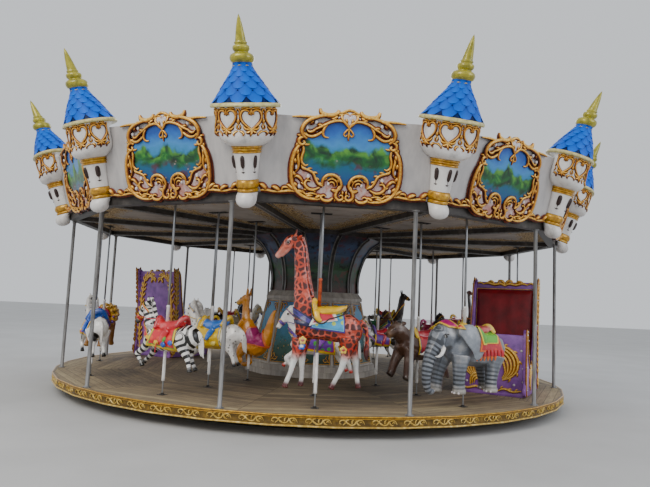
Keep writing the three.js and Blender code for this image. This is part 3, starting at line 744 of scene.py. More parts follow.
frameMesh = makePictureFrame()
for index in range(12):
    mesh = placed(frameMesh.copy(), sidePlace(index))
    shift = Vector((index * 1.37, index * 0.61, 0.0))
    for value in mesh.attributes["local"].data:
        value.vector = value.vector + shift
    addPiece("picture_frame_%02d" % (index + 1), mesh, "turntable")

print("turrets")

# Heights and radii of a turret's round parts, in its own leaning frame above the wall's lower edge.
turretMake = {
    "sides": 28,
    "wallTop": 1.04,
    "section": [(-0.225, 0.108, 1.0), (-0.08, 0.10, 1.0), (-0.014, 0.0, 1.4), (0.157, 0.0, 1.345),
        (0.49, 0.0, 1.22), (0.585, 0.0, 1.2), (0.77, 0.0, 0.785), (1.08, 0.0, 0.79), (1.13, 0.0, 0.745),
        (1.585, 0.062, 1.0), (1.75, 0.09, 1.0), (1.895, 0.112, 1.0), (2.213, 0.167, 1.0)],
    "ball": mm([(0, -225), (50, -219), (95, -197), (127, -162), (140, -115), (139, -60), (132, -18)]),
    "lowerRing": mm([(100, -20), (131, -16), (139, 0), (139, 18), (131, 34), (110, 37)]),
    "bulge": mm([(120, 37), (142, 46), (151, 70), (153, 98), (150, 125), (140, 148), (120, 157)]),
    "shaft": mm([(138, 154), (142, 200), (149, 280), (158, 360), (170, 440), (181, 500)]),
    "bands": mm([(170, 494), (188, 498), (193, 510), (188, 521), (178, 525), (178, 529), (193, 533),
        (199, 545), (193, 556), (182, 560), (182, 563), (199, 567), (205, 579), (199, 590), (170, 592)]),
    "bowl": mm([(185, 588), (230, 602), (290, 636), (345, 685), (383, 740), (398, 790), (396, 880),
        (399, 1000), (405, 1085)]),
    "eave": mm([(380, 1080), (463, 1083), (472, 1096), (472, 1118), (462, 1132), (420, 1136)]),
    "cone": mm([(445, 1130), (360, 1236), (245, 1400), (165, 1510), (118, 1585)]),
    "tip": mm([(100, 1575), (124, 1579), (130, 1592), (124, 1606), (108, 1614), (112, 1626), (146, 1646),
        (158, 1675), (158, 1700), (146, 1728), (112, 1750), (90, 1758), (92, 1768), (105, 1782),
        (112, 1800), (112, 1820), (103, 1838), (80, 1849), (78, 1856), (86, 1866), (86, 1878), (74, 1886),
        (71, 1897), (58, 1980), (41, 2075), (21, 2160), (0, 2213)]),
    "scaleRows": [(1.135, 11), (1.225, 11), (1.310, 10), (1.388, 9), (1.458, 8), (1.520, 8)],
    "scaleTall": 0.15,
    "heartTurns": (-72, -24, 24, 72),
    "windowTurns": (-60, 0, 60),
    "drumReach": 0.372,
    "shaftReach": 0.16,
    "heartWide": 1.32,
    "shadeWide": 1.9,
    "shadeLift": -0.95,
}
turretBack = math.tan(halfBay) * math.cos(crownLean)


def along(table, height):
    if height <= table[0][0]:
        return table[0][1:]
    for low, high in zip(table, table[1:]):
        if height <= high[0]:
            share = (height - low[0]) / (high[0] - low[0])
            return tuple(a + share * (b - a) for a, b in zip(low[1:], high[1:]))
    return table[-1][1:]


def toTurret(mesh):
    for vertex in mesh.vertices:
        x, y, z = vertex.co
        middle, ratio = along(turretMake["section"], z)
        y = middle + y * ratio
        if z < turretMake["wallTop"]:
            y = max(y, 0.001 - turretBack * abs(x))
        vertex.co = (x, y, z)
    return mesh


def coneRadius(height):
    return along([(z, r) for r, z in turretMake["cone"]], height)[0]


def drumRadius(height):
    return along([(z, r) for r, z in turretMake["bowl"]], height)[0]


# One domed scale with a round lower edge, wide at its top, as (across, up, out) in a unit shape.
def scaleGrid():
    bm = bmesh.new()
    bmesh.ops.create_grid(bm, x_segments=4, y_segments=4, size=1.0)
    for vertex in bm.verts:
        u, v = vertex.co.x, (vertex.co.y + 1) / 2
        low = 1.0 - math.sqrt(max(0.0, 1.0 - u * u * 0.98))
        up = v + (1 - v) * low * 0.62
        vertex.co = (u, up, (1 - u * u * 0.85) * (1.0 - 0.75 * up) + 0.15)
    return bm


def makeScales():
    parts = []
    for row, (low, count) in enumerate(turretMake["scaleRows"]):
        tall = turretMake["scaleTall"] * (0.95 - 0.03 * row)
        for index in range(count):
            turn = (index + 0.5 * (row % 2)) / count * math.tau
            bm = scaleGrid()
            for vertex in bm.verts:
                u, up, out = vertex.co
                height = low + up * tall
                radius = coneRadius(height) + 0.002 + out * 0.016
                angle = turn + u * math.pi / count * 1.04
                vertex.co = (radius * math.sin(angle), radius * math.cos(angle), height - out * 0.004)
            parts.append((meshOf(bm), None))
    mesh = joined(parts)
    bm = bmesh.new()
    bm.from_mesh(mesh)
    for face in bm.faces:
        middle = face.calc_center_median()
        if face.normal.dot(Vector((middle.x, middle.y, 0.2))) < 0:
            face.normal_flip()
    bm.to_mesh(mesh)
    bm.free()
    # How far each point of the scales stands out from the cone, for the painted shade where a scale turns
    # under.
    layer = mesh.attributes.new("painted_shading", "FLOAT", "POINT")
    for vertex in mesh.vertices:
        radius = math.hypot(vertex.co.x, vertex.co.y)
        layer.data[vertex.index].value = min(1.0, max(0.0, (radius - coneRadius(vertex.co.z) - 0.003)
            / 0.014))
    return toTurret(mesh)


# Strokes of (turn along the drum in metres, height, radius) laid on the turret's skin.
def onTurret(strokes, turn, skin, reach, wider=1.0, lift=0.35):
    made = []
    for stroke in strokes:
        line = []
        for u, height, radius in stroke:
            angle = math.radians(turn) + u / reach
            out = skin(height) + radius * lift
            line.append((out * math.sin(angle), out * math.cos(angle), height, radius * wider))
        made.append(line)
    return made


heartStrokes = mm([
    [(0, 800, 12), (60, 845, 16), (112, 905, 17), (128, 970, 17), (105, 1025, 16), (60, 1040, 14),
        (22, 1015, 12), (35, 985, 8)],
    [(0, 975, 6), (12, 1000, 12), (0, 1045, 12)],
    [(0, 1055, 8), (40, 1062, 14), (85, 1068, 12), (120, 1055, 8)],
    [(150, 1060, 12), (135, 1020, 12), (150, 985, 6)],
    [(0, 810, 12), (45, 800, 18), (80, 815, 14), (95, 845, 6)],
    [(0, 800, 12), (35, 770, 18), (70, 765, 8)],
    [(0, 810, 14), (0, 760, 20), (0, 715, 6)],
    [(150, 800, 8), (135, 835, 12), (150, 870, 6)],
    [(155, 775, 6), (120, 775, 14), (90, 750, 14), (100, 725, 8)],
    [(155, 930, 6), (145, 900, 12), (155, 875, 8)],
])
windowStrokes = mm([
    [(0, 305, 12), (0, 325, 25), (0, 365, 29), (0, 420, 29), (0, 452, 24), (0, 468, 12)],
    [(0, 305, 8), (0, 275, 6), (0, 262, 7)],
    [(-28, 256, 5), (0, 248, 12), (28, 256, 5)],
])


def shaftRadius(height):
    return along([(z, r) for r, z in turretMake["shaft"]], height)[0] - 0.006


def makeTurret():
    sides = turretMake["sides"]
    lathed = [("ball", turretWhite), ("lowerRing", goldBand), ("bulge", goldBand), ("shaft", turretWhite),
        ("bands", goldBand), ("bowl", turretWhite), ("eave", eaveYellow), ("cone", blueScale),
        ("tip", goldTip)]
    parts = [(toTurret(lathe(turretMake[key], sides)), material) for key, material in lathed]
    parts.append((makeScales(), blueScale))
    hearts, shades = [], []
    for turn in turretMake["heartTurns"]:
        hearts += onTurret(mirroredStrokes(heartStrokes), turn, drumRadius,
            turretMake["drumReach"], turretMake["heartWide"])
        shades += onTurret(mirroredStrokes(heartStrokes), turn, drumRadius,
            turretMake["drumReach"], turretMake["shadeWide"], turretMake["shadeLift"])
    scrolls = toTurret(tubes(hearts, 1, 3))
    # The hearts get painted highlights where they face outward and a little up, painted shade elsewhere.
    setPaintedShading(scrolls, lambda point: Vector((point.x, point.y * 1.4, 0.22)).normalized())
    parts += [(scrolls, goldCarving), (toTurret(tubes(shades, 1, 3)), scrollShade)]
    windows = []
    for turn in turretMake["windowTurns"]:
        windows += onTurret(windowStrokes, turn, shaftRadius, turretMake["shaftReach"])
    parts.append((toTurret(tubes(windows, 1, 3)), windowBrown))
    return joined(parts)


turretMesh = makeTurret()
for index in range(12):
    name = "turret_%02d" % (index + 1)
    addPiece(name + "_detail", placed(turretMesh.copy(), cornerPlace(index)), "turntable",
        [name])

print("deck and rim")

# Its lips are (height, radius, enamel).
rimMake = {
    "sides": 36,
    "motifHalf": 0.2185,
    "lips": [(ride["rimBottom"] + 0.01, 0.012, highlightGold), (ride["deckTop"] - 0.002, 0.010, goldBand),
        (ride["deckTop"] - 0.026, 0.005, goldBand)],
    "motifs": mm([
        [(-165, -18, 4), (-140, 22, 8), (-95, 32, 11), (-55, 10, 11), (-30, -22, 10), (20, -30, 11),
            (70, 0, 11), (110, 30, 11), (155, 22, 9), (165, -8, 6), (140, -18, 4)],
        [(-115, -32, 4), (-80, -22, 11), (-55, 20, 8), (-50, 35, 4)],
        [(-20, 35, 4), (0, 22, 10), (0, -12, 8)],
        [(40, 36, 4), (70, 30, 9), (85, 0, 9), (120, -30, 5)],
        [(-140, -5, 4), (-115, 10, 8), (-100, -6, 4)],
    ]),
}


def makeRimRelief():
    apothem = ride["rimRadius"] * math.cos(math.pi / rimMake["sides"])
    middle = (ride["rimBottom"] + ride["deckTop"]) / 2
    one = tubes([[(x, -0.002, z, r) for x, z, r in stroke] for stroke in rimMake["motifs"]], 1, 3)
    parts = []
    for side in range(rimMake["sides"]):
        for offset in (-rimMake["motifHalf"], rimMake["motifHalf"]):
            place = station(5 + 10 * side, apothem, middle) @ Matrix.Translation((offset, 0, 0))
            parts.append((placed(one.copy(), place), highlightGold))
    for height, radius, enamel in rimMake["lips"]:
        ring = [(ride["rimRadius"] + radius * math.cos(a), height + radius * math.sin(a))
            for a in [math.tau * i / 8 for i in range(9)]]
        parts.append((lathe(ring, rimMake["sides"]), enamel))
    return joined(parts)


addPiece("rim_relief", makeRimRelief(), "turntable")


def dress(name, material):
    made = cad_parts[name]
    made.data.materials.clear()
    made.data.materials.append(material)


dress("deck", deckBoards)
dress("deck_rim", goldRim)
dress("ground_frame", groundBlack)
dress("guide_frame", rodSteel)
dress("centre_mast", darkFrame)
dress("roof_frame", darkFrame)
dress("eaves_ring", darkFrame)
dress("ceiling", ceilingPrint)

print("poles")

poleMake = {
    "profile": [(0.0, ride["onDeck"]), (0.062, ride["onDeck"]), (0.062, 0.310), (0.036, 0.314),
        (0.0335, 0.335), (0.030, 0.340), (0.030, 3.03), (0.034, 3.034), (0.034, 3.058), (0.055, 3.0606),
        (0.055, 3.0696), (0.0, 3.0696)],
    "bolts": [(45, 0.048, 0.313), (135, 0.048, 0.313), (225, 0.048, 0.313), (315, 0.048, 0.313)],
    "bolt": (0.007, 0.007, 0.005),
}
poleMesh = lathe(poleMake["profile"], 16)
for index in range(12):
    name = "pole_%02d" % (index + 1)
    bolts = [(poleMesh.copy(), poleGrey)]
    for turn, reach, height in poleMake["bolts"]:
        at = (reach * math.cos(math.radians(turn)), reach * math.sin(math.radians(turn)), height)
        bolts.append((ball(at, poleMake["bolt"], 3), rodSteel))
    mesh = placed(joined(bolts), station(ride["poleAngle"] + 30 * index, ride["poleCircle"]))
    addPiece(name + "_tube", mesh, "turntable", [name])

print("animals")

# White enamel of the sleeves round the rods, rubbed grey in places.
sleeveWhite = mottled("white_sleeve_enamel", [(0.25, "#a39f9a"), (0.45, "#dfdcd8"), (0.8, "#eceae7")],
    40.0, 5.0, stretch=(1.0, 1.0, 0.3), bump=(0.1, 0.001), Roughness=0.35, Coat_Weight=0.3)

# Glossy enamel of the eyes, white and black.
eyeWhite = mottled("eye_white_enamel", [(0.3, "#d9d5cf"), (0.7, "#f3f1ee")], 40.0,
    Roughness=0.12, Coat_Weight=0.8)
eyeBlack = mottled("eye_black_enamel", [(0.3, "#060505"), (0.7, "#1a120e")], 40.0,
    Roughness=0.08, Coat_Weight=1.0)


# Glossy paint over moulded fibreglass. The airbrushed colours lie on the mesh; marks are added where
# their strength is above zero, and the paint is thinner and darker in soft patches.
def coatMaterial(name, pattern=None, mark="#141210", scale=8.0, share=0.4, rough=0.3):
    made, add, shader = newMaterial(name, Roughness=rough, Coat_Weight=0.35)
    base = add("Attribute", attribute_name="paint")
    strength = base.node.outputs["Alpha"]
    local = places(add, attribute="local")
    soft = add("TexNoise", local, 6.0, 5.0, 0.6)
    base = add("Mix", add("MULTIPLY", add("MapRange", soft, 0.56, 0.3), 0.35), base,
        colour("#3a2c26"), data_type="RGBA", blend_type="MULTIPLY")
    base = add("Mix", add("MULTIPLY", add("MapRange", soft, 0.52, 0.75), 0.22), base,
        colour("#fff6ea"), data_type="RGBA")
    if pattern == "stripes":
        length = add("Attribute", output="Fac", attribute_name="along")
        warp = add("TexNoise", local, 5.0, 3.0, 0.55)
        wave = add("SINE", add("ADD", add("MULTIPLY", length, scale * math.tau),
            add("MULTIPLY", warp, 2.6)))
        shape = add("MapRange", wave, 1.0 - 2 * share - 0.09, 1.0 - 2 * share + 0.09)
    elif pattern == "patches":
        cells = add("TexVoronoi", local, scale, Randomness=0.75)
        shape = add("MapRange", cells, share + 0.03, share - 0.03)
    elif pattern == "mosaic":
        cells = add("TexVoronoi", local, scale, Randomness=0.8, feature="DISTANCE_TO_EDGE")
        shape = add("MapRange", cells, share - 0.03, share + 0.04)
    elif pattern == "clouds":
        shape = add("MapRange", add("TexNoise", local, scale, 2.0, 0.4), share - 0.01, share + 0.01)
    else:
        shape = None
    if shape is not None:
        base = add("Mix", add("MULTIPLY", shape, strength), base, colour(mark), data_type="RGBA")
    finish(add, shader, base, add("TexNoise", places(add), 28.0, 5.0, 0.55), 0.18, 0.004)
    return made


# Painted cloth-like tack: a body colour with a flowered figure, then a piping and an edging that
# follow the piece's own edge.
def tackMaterial(name, body, figure, edging, piping, border=0.03):
    made, add, shader = newMaterial(name, Roughness=0.38, Coat_Weight=0.25)
    edge = add("Attribute", output="Fac", attribute_name="edge")
    local = places(add, attribute="local")
    shape = add("MapRange", add("TexVoronoi", local, 9.0, Randomness=0.35), 0.30, 0.26)
    base = add("Mix", shape, colour(body), colour(figure), data_type="RGBA")
    base = add("Mix", add("MapRange", edge, border * 1.2, border * 1.1), base, colour(piping),
        data_type="RGBA")
    base = add("Mix", add("MapRange", edge, border * 0.8, border * 0.7), base, colour(edging),
        data_type="RGBA")
    worn = add("TexNoise", local, 12.0, 6.0, 0.6)
    base = add("Mix", add("MULTIPLY", add("MapRange", worn, 0.5, 0.25), 0.4), base,
        colour("#2a1c18"), data_type="RGBA", blend_type="MULTIPLY")
    finish(add, shader, base, add("ADD", worn, add("MULTIPLY", add("MapRange", edge, 0.0, 0.03), 0.6)),
        0.4, 0.006)
    return made


# A limb: stations of (x, y, z, radius), how wide it is across, its colour at each station and how
# strongly the coat's marks show there.
def limb(points, tint, width=1.0, marks=1.0, y=0.0):
    tints = tint if isinstance(tint, (list, tuple)) else [tint] * len(points)
    strengths = marks if isinstance(marks, (list, tuple)) else [marks] * len(points)
    rows = []
    for point, code, strength in zip(points, tints, strengths):
        if len(point) == 3:
            point = (point[0], 0.0, point[1], point[2])
        rows.append((point[0], point[1] + y, point[2], point[3]) + colour(code)[:3] + (strength,))
    return {"rows": rows, "width": width}


# Legs from their stations, left and right of the middle in turns, at one distance for each two.
def legsOf(tables, tint, marks, across):
    return [limb(points, tint, 1.0, marks, across[index // 2] * (-1) ** index)
        for index, points in enumerate(tables)]


def pair(points, tint, width=1.0, marks=1.0):
    return [limb([(x, side * y, z, r) for x, y, z, r in points], tint, width, marks) for side in (1, -1)]


# One closed skin over all limbs, smoothed, with colours, marks and distances along the limbs.
def figureMesh(limbs, voxel, smooth=4):
    shells = []
    samples = []
    for part in limbs:
        path = smoothPath(part["rows"], 4)
        mesh = tubes([[row[:4] for row in path]], sides=3, steps=1)
        each = len(mesh.vertices) // len(path)
        for vertex in mesh.vertices:
            row = path[min(vertex.index // each, len(path) - 1)]
            vertex.co.y = row[1] + (vertex.co.y - row[1]) * part["width"]
        shells.append((mesh, None))
        length = 0.0
        for index, row in enumerate(path):
            before = path[max(index - 1, 0)]
            after = path[min(index + 1, len(path) - 1)]
            course = Vector(after[:3]) - Vector(before[:3])
            if index:
                length += (Vector(row[:3]) - Vector(before[:3])).length
            samples.append(tuple(row) + (part["width"], length) + tuple(course.normalized()))
    made = meshObject("limbs", joined(shells))
    remesh = made.modifiers.new("skin", "REMESH")
    remesh.mode = "VOXEL"
    remesh.voxel_size = voxel
    soften = made.modifiers.new("soften", "SMOOTH")
    soften.factor = 0.5
    soften.iterations = smooth
    mesh = evaluated(made)
    count = len(mesh.vertices)
    points = numpy.empty(count * 3, dtype=numpy.float32)
    mesh.vertices.foreach_get("co", points)
    points = points.reshape(count, 3)
    table = numpy.array(samples, dtype=numpy.float32)
    paints = numpy.empty((count, 4), dtype=numpy.float32)
    lengths = numpy.empty(count, dtype=numpy.float32)
    for start in range(0, count, 4000):
        some = points[start:start + 4000]
        gap = some[:, None, :] - table[None, :, :3]
        gap[:, :, 1] /= table[None, :, 8]
        near = numpy.sqrt((gap ** 2).sum(axis=2)) / table[None, :, 3]
        weight = numpy.exp(-16.0 * (near - near.min(axis=1, keepdims=True)))
        weight /= weight.sum(axis=1, keepdims=True)
        paints[start:start + 4000] = weight @ table[:, 4:8]
        run = table[None, :, 9] + (gap * table[None, :, 10:13]).sum(axis=2)
        lengths[start:start + 4000] = (weight * run).sum(axis=1)
    paints = numpy.clip(paints, 0.0, 1.0)
    mesh.attributes.new("paint", "FLOAT_COLOR", "POINT").data.foreach_set("color", paints.ravel())
    mesh.attributes.new("along", "FLOAT", "POINT").data.foreach_set("value", lengths)
    mesh.attributes.new("local", "FLOAT_VECTOR", "POINT").data.foreach_set("vector", points.ravel())
    return mesh


# The part of a figure's skin between planes, lifted and thickened, with each point's distance from
# its edge. A plane is (point, normal) and what lies beyond it is cut away.
def sliced(source, planes, lift=0.008, thick=0.012):
    bm = bmesh.new()
    bm.from_mesh(source)
    for spot, normal in planes:
        bmesh.ops.bisect_plane(bm, geom=bm.verts[:] + bm.edges[:] + bm.faces[:], dist=1e-5,
            plane_co=spot, plane_no=normal, clear_outer=True)
    bm.normal_update()
    for vertex in bm.verts:
        vertex.co += vertex.normal * (lift + thick)
    bmesh.ops.solidify(bm, geom=bm.faces[:], thickness=thick)
    bmesh.ops.recalc_face_normals(bm, faces=bm.faces)
    mesh = meshOf(bm)
    layer = mesh.attributes.new("edge", "FLOAT", "POINT")
    for vertex in mesh.vertices:
        layer.data[vertex.index].value = min(
            (Vector(spot) - vertex.co).dot(Vector(normal).normalized()) for spot, normal in planes)
    return mesh


def setEdge(mesh):
    for item in mesh.attributes.new("edge", "FLOAT", "POINT").data:
        item.value = 1.0


def strap(source, spot, normal, wide, extra=()):
    normal = Vector(normal).normalized()
    spot = Vector(spot)
    planes = [(tuple(spot + normal * wide / 2), tuple(normal)), (tuple(spot - normal * wide / 2),
        tuple(-normal))]
    return sliced(source, planes + list(extra), 0.004, 0.009)


def eyes(x, y, z, size, parts):
    for side in (1, -1):
        parts.append((ball((x, side * y, z), (size * 0.95, size * 0.6, size * 0.9), 6), eyeWhite))
        parts.append((ball((x + size * 0.1, side * (y + size * 0.32), z), (size * 0.84, size * 0.5,
            size * 0.82), 5), eyeBlack))


# Horses and ponies are scaled about this height.
horseMiddle = 1.12


def scaledLimbs(limbs, size):
    for part in limbs:
        part["rows"] = [(x * size, y * size, horseMiddle + (z - horseMiddle) * size, r * size, *tints)
            for x, y, z, r, *tints in part["rows"]]
    return limbs


def horseLimbs(palette, upright):
    coat, mane, hoof = palette["coat"], palette["mane"], palette["hoof"]
    leg, muzzle = palette.get("leg", coat), palette.get("muzzle", coat)
    fore = [coat, coat, leg, leg, leg, hoof, hoof]
    marks = [1.0, 1.0, 1.0, 1.0, 1.0, 0.0, 0.0]
    limbs = [
        limb(mm([(-600, 1200, 50), (-565, 1190, 125), (-470, 1165, 178), (-300, 1125, 176),
            (-80, 1100, 170), (120, 1105, 176), (270, 1135, 172), (360, 1170, 110)]), coat, 0.86),
        limb(mm([(190, 1150, 155), (290, 1270, 128), (355, 1400, 100), (390, 1510, 82),
            (395, 1590, 66)]), coat, 0.7),
        limb(mm([(345, 1605, 50), (400, 1590, 74), (465, 1525, 76), (525, 1440, 56), (580, 1355, 45),
            (610, 1315, 36)]), [coat, coat, coat, coat, muzzle, muzzle], 0.78, [1.0, 1.0, 1.0, 1.0, 0.0,
            0.0]),
        limb(mm([(385, 1545, 50), (435, 1495, 52), (500, 1420, 30)]), coat, 0.8),
        *legsOf(mm([
            [(220, 1080, 95), (310, 970, 62), (405, 905, 46), (445, 865, 43), (395, 785, 31),
                (345, 725, 32), (325, 692, 45)],
            [(220, 1080, 95), (290, 950, 65), (345, 865, 46), (405, 805, 33), (455, 770, 31),
                (480, 748, 34), (500, 722, 45)],
            [(-380, 1120, 125), (-430, 990, 85), (-495, 890, 52), (-525, 820, 37), (-545, 755, 31),
                (-560, 710, 34), (-570, 678, 46)],
            [(-360, 1110, 120), (-370, 970, 85), (-395, 870, 52), (-440, 800, 37), (-475, 745, 31),
                (-500, 710, 34), (-520, 683, 46)]]), fore, marks, (0.10, 0.095)),
        limb(mm([(-550, 1250, 26), (-625, 1220, 30), (-672, 1120, 34), (-690, 990, 32),
            (-720, 880, 10)]), mane, 0.75, 0.0),
        limb(mm([(-600, 1210, 22), (-642, 1110, 30), (-652, 980, 26), (-675, 900, 8)]), mane, 0.75, 0.0),
    ]
    limbs += pair(mm([(372, 38, 1640, 22), (362, 46, 1690, 20), (358, 50, 1735, 6)]), coat)
    if upright:
        limbs.append(limb(mm([(400, 1685, 20), (335, 1665, 40), (275, 1560, 42), (225, 1430, 42),
            (155, 1320, 30)]), mane, 0.4))
        return limbs
    for index, (x, z) in enumerate([(0.335, 1.655), (0.30, 1.58), (0.262, 1.50), (0.228, 1.42),
            (0.185, 1.345)]):
        side = 1 if index % 2 == 0 else -1
        for way in (1, -1):
            swing = 0.015 * side * way
            limbs.append(limb([(x + 0.03, 0.0, z, 0.03), (x, way * 0.06, z - 0.02, 0.034),
                (x - 0.03 + swing, way * 0.088, z - 0.10, 0.026), (x - 0.01 + swing, way * 0.096,
                z - 0.17, 0.009)], mane, 1.0, 0.0))
    limbs.append(limb(mm([(360, 0, 1665, 22), (420, 0, 1660, 24), (465, 12, 1600, 16),
        (485, 0, 1555, 6)]), mane, 1.0, 0.0))
    return limbs


# A limb's stations from one side over the middle to the other side, from those of its first half.
def arch(half):
    return [(x, -y, z, r) for x, y, z, r in half] + [tuple(point) for point in half[-2::-1]]


def saddleLimbs(x, z, size, palette):
    def spots(*points):
        return [(x + ahead * size, y * size, z + rise, r * size) for ahead, y, rise, r in points]

    seat, roll = palette["saddle"], palette["roll"]
    return [
        limb(spots((-0.23, 0.0, 0.05, 0.06), (-0.10, 0.0, -0.025, 0.105), (0.06, 0.0, -0.03, 0.10),
            (0.16, 0.0, 0.02, 0.06)), seat, 1.25),
        limb(arch(spots((0.18, 0.12, -0.06, 0.03), (0.185, 0.06, 0.045, 0.038),
            (0.20, 0.0, 0.10, 0.045))), roll),
        limb(arch(spots((-0.25, 0.15, -0.02, 0.03), (-0.28, 0.08, 0.085, 0.04),
            (-0.30, 0.0, 0.125, 0.045))), roll),
    ] + pair(spots((-0.10, 0.13, -0.06, 0.05), (-0.03, 0.165, -0.16, 0.055),
        (0.02, 0.175, -0.25, 0.03)), seat, 0.45)


rodMake = {
    "sleeve": [(0.0, 0.5), (0.021, 0.5), (0.025, 0.503), (0.025, 0.535), (0.0235, 0.54), (0.0235, 1.05),
        (0.0, 1.06)],
    "rod": [(0.0, 1.0), (0.0175, 1.0), (0.0175, 3.312), (0.014, 3.32), (0.0, 3.32)],
    "sheath": [(0.0, -0.25), (0.025, -0.25), (0.0245, 0.25), (0.028, 0.255), (0.028, 0.275),
        (0.019, 0.285), (0.0, 0.29)],
    "plate": ((-0.055, -0.055, 0.3005), (0.055, 0.055, 0.3075)),
    "collar": [(0.014, 0.307), (0.026, 0.307), (0.026, 0.328), (0.0135, 0.332), (0.014, 0.307)],
    "screws": [(-0.038, -0.038, 0.308), (-0.038, 0.038, 0.308), (0.038, -0.038, 0.308),
        (0.038, 0.038, 0.308)],
    "screw": (0.007, 0.007, 0.004),
}
rows = {"outer": 4.44, "middle": 3.40, "inner": 2.30}
seats = []


def rodParts(top, tint):
    sheath = [(radius, top + rise) for radius, rise in rodMake["sheath"]]
    return [(lathe(rodMake["sleeve"], 14), sleeveWhite), (lathe(rodMake["rod"], 14), rodSteel),
        (lathe(sheath, 14), tint)]


# An animal's figure, tack and rod, and the plate that stays on the deck.
def addAnimal(name, bay, row, figure, tack, sheathAt, tint=sleeveWhite):
    place = bayPlace(bay, rows[row])
    seats.append(place)
    addPiece(name + "_figure", placed(joined(figure), place), name, [name])
    addPiece(name + "_tack", placed(joined(tack), place), name)
    addPiece(name + "_rod", placed(joined(rodParts(sheathAt, tint)), place), name)
    plate = [(boxMesh(*rodMake["plate"], 0.002), darkFrame), (lathe(rodMake["collar"], 12), darkFrame)]
    for at in rodMake["screws"]:
        plate.append((ball(at, rodMake["screw"], 3), rodSteel))
    addPiece(name + "_floor_plate", placed(joined(plate), place), "turntable")


# A horse or pony, also as zebra or goat; its colours come by name.
def horse(name, bay, row, size, pattern=None, upright=False, drape=False, scale=8.0, share=0.4, **palette):
    coat = coatMaterial(name + "_fibreglass_paint", pattern, palette.get("mark", "#141210"), scale, share)
    voxel = 0.013 if row == "outer" and bay in (-1, -2) else 0.018
    skin = figureMesh(scaledLimbs(horseLimbs(palette, upright), size), voxel)

    def at(x, z, y=0.0):
        return (x * size, y * size, horseMiddle + (z - horseMiddle) * size)

    figure = [(skin, coat)]
    eyes(0.452 * size, 0.058 * size, horseMiddle + 0.425 * size, 0.021 * size, figure)
    for side in (1, -1):
        figure.append((ball((0.60 * size, side * 0.022 * size, horseMiddle + 0.205 * size),
            (0.008, 0.006, 0.011), 4), eyeBlack))
    tack = []
    blanket = tackMaterial(name + "_blanket", *palette["blanket"])
    leather = tackMaterial(name + "_straps", palette["strap"], palette["buckle"], palette["buckle"],
        palette["strap"], 0.005)
    front, low = (0.27, 0.86) if drape else (0.20, 0.99)
    tack.append((sliced(skin, [(at(front, 1.1), (1.0, 0.0, 0.25)), (at(-0.30, 1.1), (-1.0, 0.0, 0.1)),
        (at(0.0, low), (0.12, 0.0, -1.0))]), blanket))
    tack.append((strap(skin, at(0.30, 1.19), (0.75, 0.0, -0.85), 0.055 * size,
        [(at(0.19, 1.2), (-1.0, 0.0, 0.1))]), leather))
    head = [(at(0.33, 1.5), (-1.0, 0.0, -0.25))]
    tack.append((strap(skin, at(0.545, 1.42), (0.62, 0.0, -0.78), 0.024 * size, head), leather))
    tack.append((strap(skin, at(0.43, 1.575), (0.66, 0.0, -0.72), 0.024 * size,
        head + [(at(0.3, 1.48), (0.0, 0.0, -1.0))]), leather))
    onSeat = saddleLimbs(-0.05 * size, horseMiddle + 0.19 * size, size, palette)
    for x, z, tint in palette.get("gems", ()):
        onSeat += pair([(x - 0.05, 0.163, z, 0.016), (x - 0.02, 0.165, z, 0.042),
            (x + 0.02, 0.165, z, 0.042), (x + 0.05, 0.163, z, 0.016)], tint, 0.45)
    saddle = figureMesh(onSeat, 0.014)
    tack.append((saddle, coatMaterial(name + "_saddle_paint", rough=0.28)))
    bridle = []
    for side in (1, -1):
        line = [(0.575, 0.045, 1.385, 0.006), (0.45, 0.085, 1.42, 0.006), (0.30, 0.10, 1.39, 0.006),
            (0.14, 0.04, 1.40, 0.006)]
        bridle.append([at(x, z, side * y) + (r,) for x, y, z, r in line])
        bridle.append([(x, side * y * size, horseMiddle - drop * size, r)
            for x, y, drop, r in ((0.0, 0.165, 0.02, 0.008), (0.02, 0.185, 0.12, 0.008),
            (0.02, 0.19, 0.20, 0.006))])
    reins = tubes(bridle, 1, 3)
    setLocal(reins)
    setEdge(reins)
    tack.append((reins, leather))
    addAnimal(name, bay, row, figure, tack, horseMiddle + 0.20 * size)


horse("zebra", -1, "outer", 1.0, "stripes", True, scale=11.5, share=0.5, coat="#ece9e4",
    mane="#ece9e4", hoof="#161412", mark="#15120f", muzzle="#2a2522",
    blanket=("#d62a34", "#e8573a", "#f0c92e", "#2f9e46"), strap="#c8202c", buckle="#e8c02c",
    saddle="#d8222e", roll="#c01a2a", gems=[(-0.23, 1.07, "#1f5fc4"), (-0.10, 1.12, "#48b040"),
    (-0.10, 1.035, "#1f5fc4"), (0.04, 1.06, "#f0c92e")])
horse("spotted_horse", -2, "outer", 1.0, "patches", scale=3.4, share=0.3, coat="#eceae6",
    mane="#dcd8d2", hoof="#151312", mark="#121010", blanket=("#1f58b8", "#3f86dc", "#e8c02c",
    "#c8202c"), strap="#2a2a34", buckle="#d8b02c", saddle="#2360c4", roll="#1c4fa8")
print("first animals")
horse("brown_horse", 3, "outer", 1.0, coat="#4a2c1c", mane="#171210", hoof="#161210", leg="#2c1c14",
    blanket=("#8c1c2c", "#c83a3a", "#e0b028", "#28508c"), strap="#a82430", buckle="#d8b02c",
    saddle="#b02028", roll="#8c1820")
horse("grey_horse", 6, "outer", 1.0, "patches", scale=9.0, share=0.3, coat="#a8a6a4", mane="#e2dfda",
    hoof="#2a2624", mark="#7c7a7a", blanket=("#28489c", "#5c8ad8", "#e0b028", "#c8283a"),
    strap="#28407c", buckle="#d8b02c", saddle="#2c4fa8", roll="#e0b028")
horse("black_horse", 7, "outer", 1.0, coat="#211d1b", mane="#0f0d0c", hoof="#c8a23a", leg="#1a1715",
    blanket=("#7c2c94", "#b45cc4", "#e0b028", "#38a0a8"), strap="#7c2c94", buckle="#e0b028",
    saddle="#c82434", roll="#e0b028")
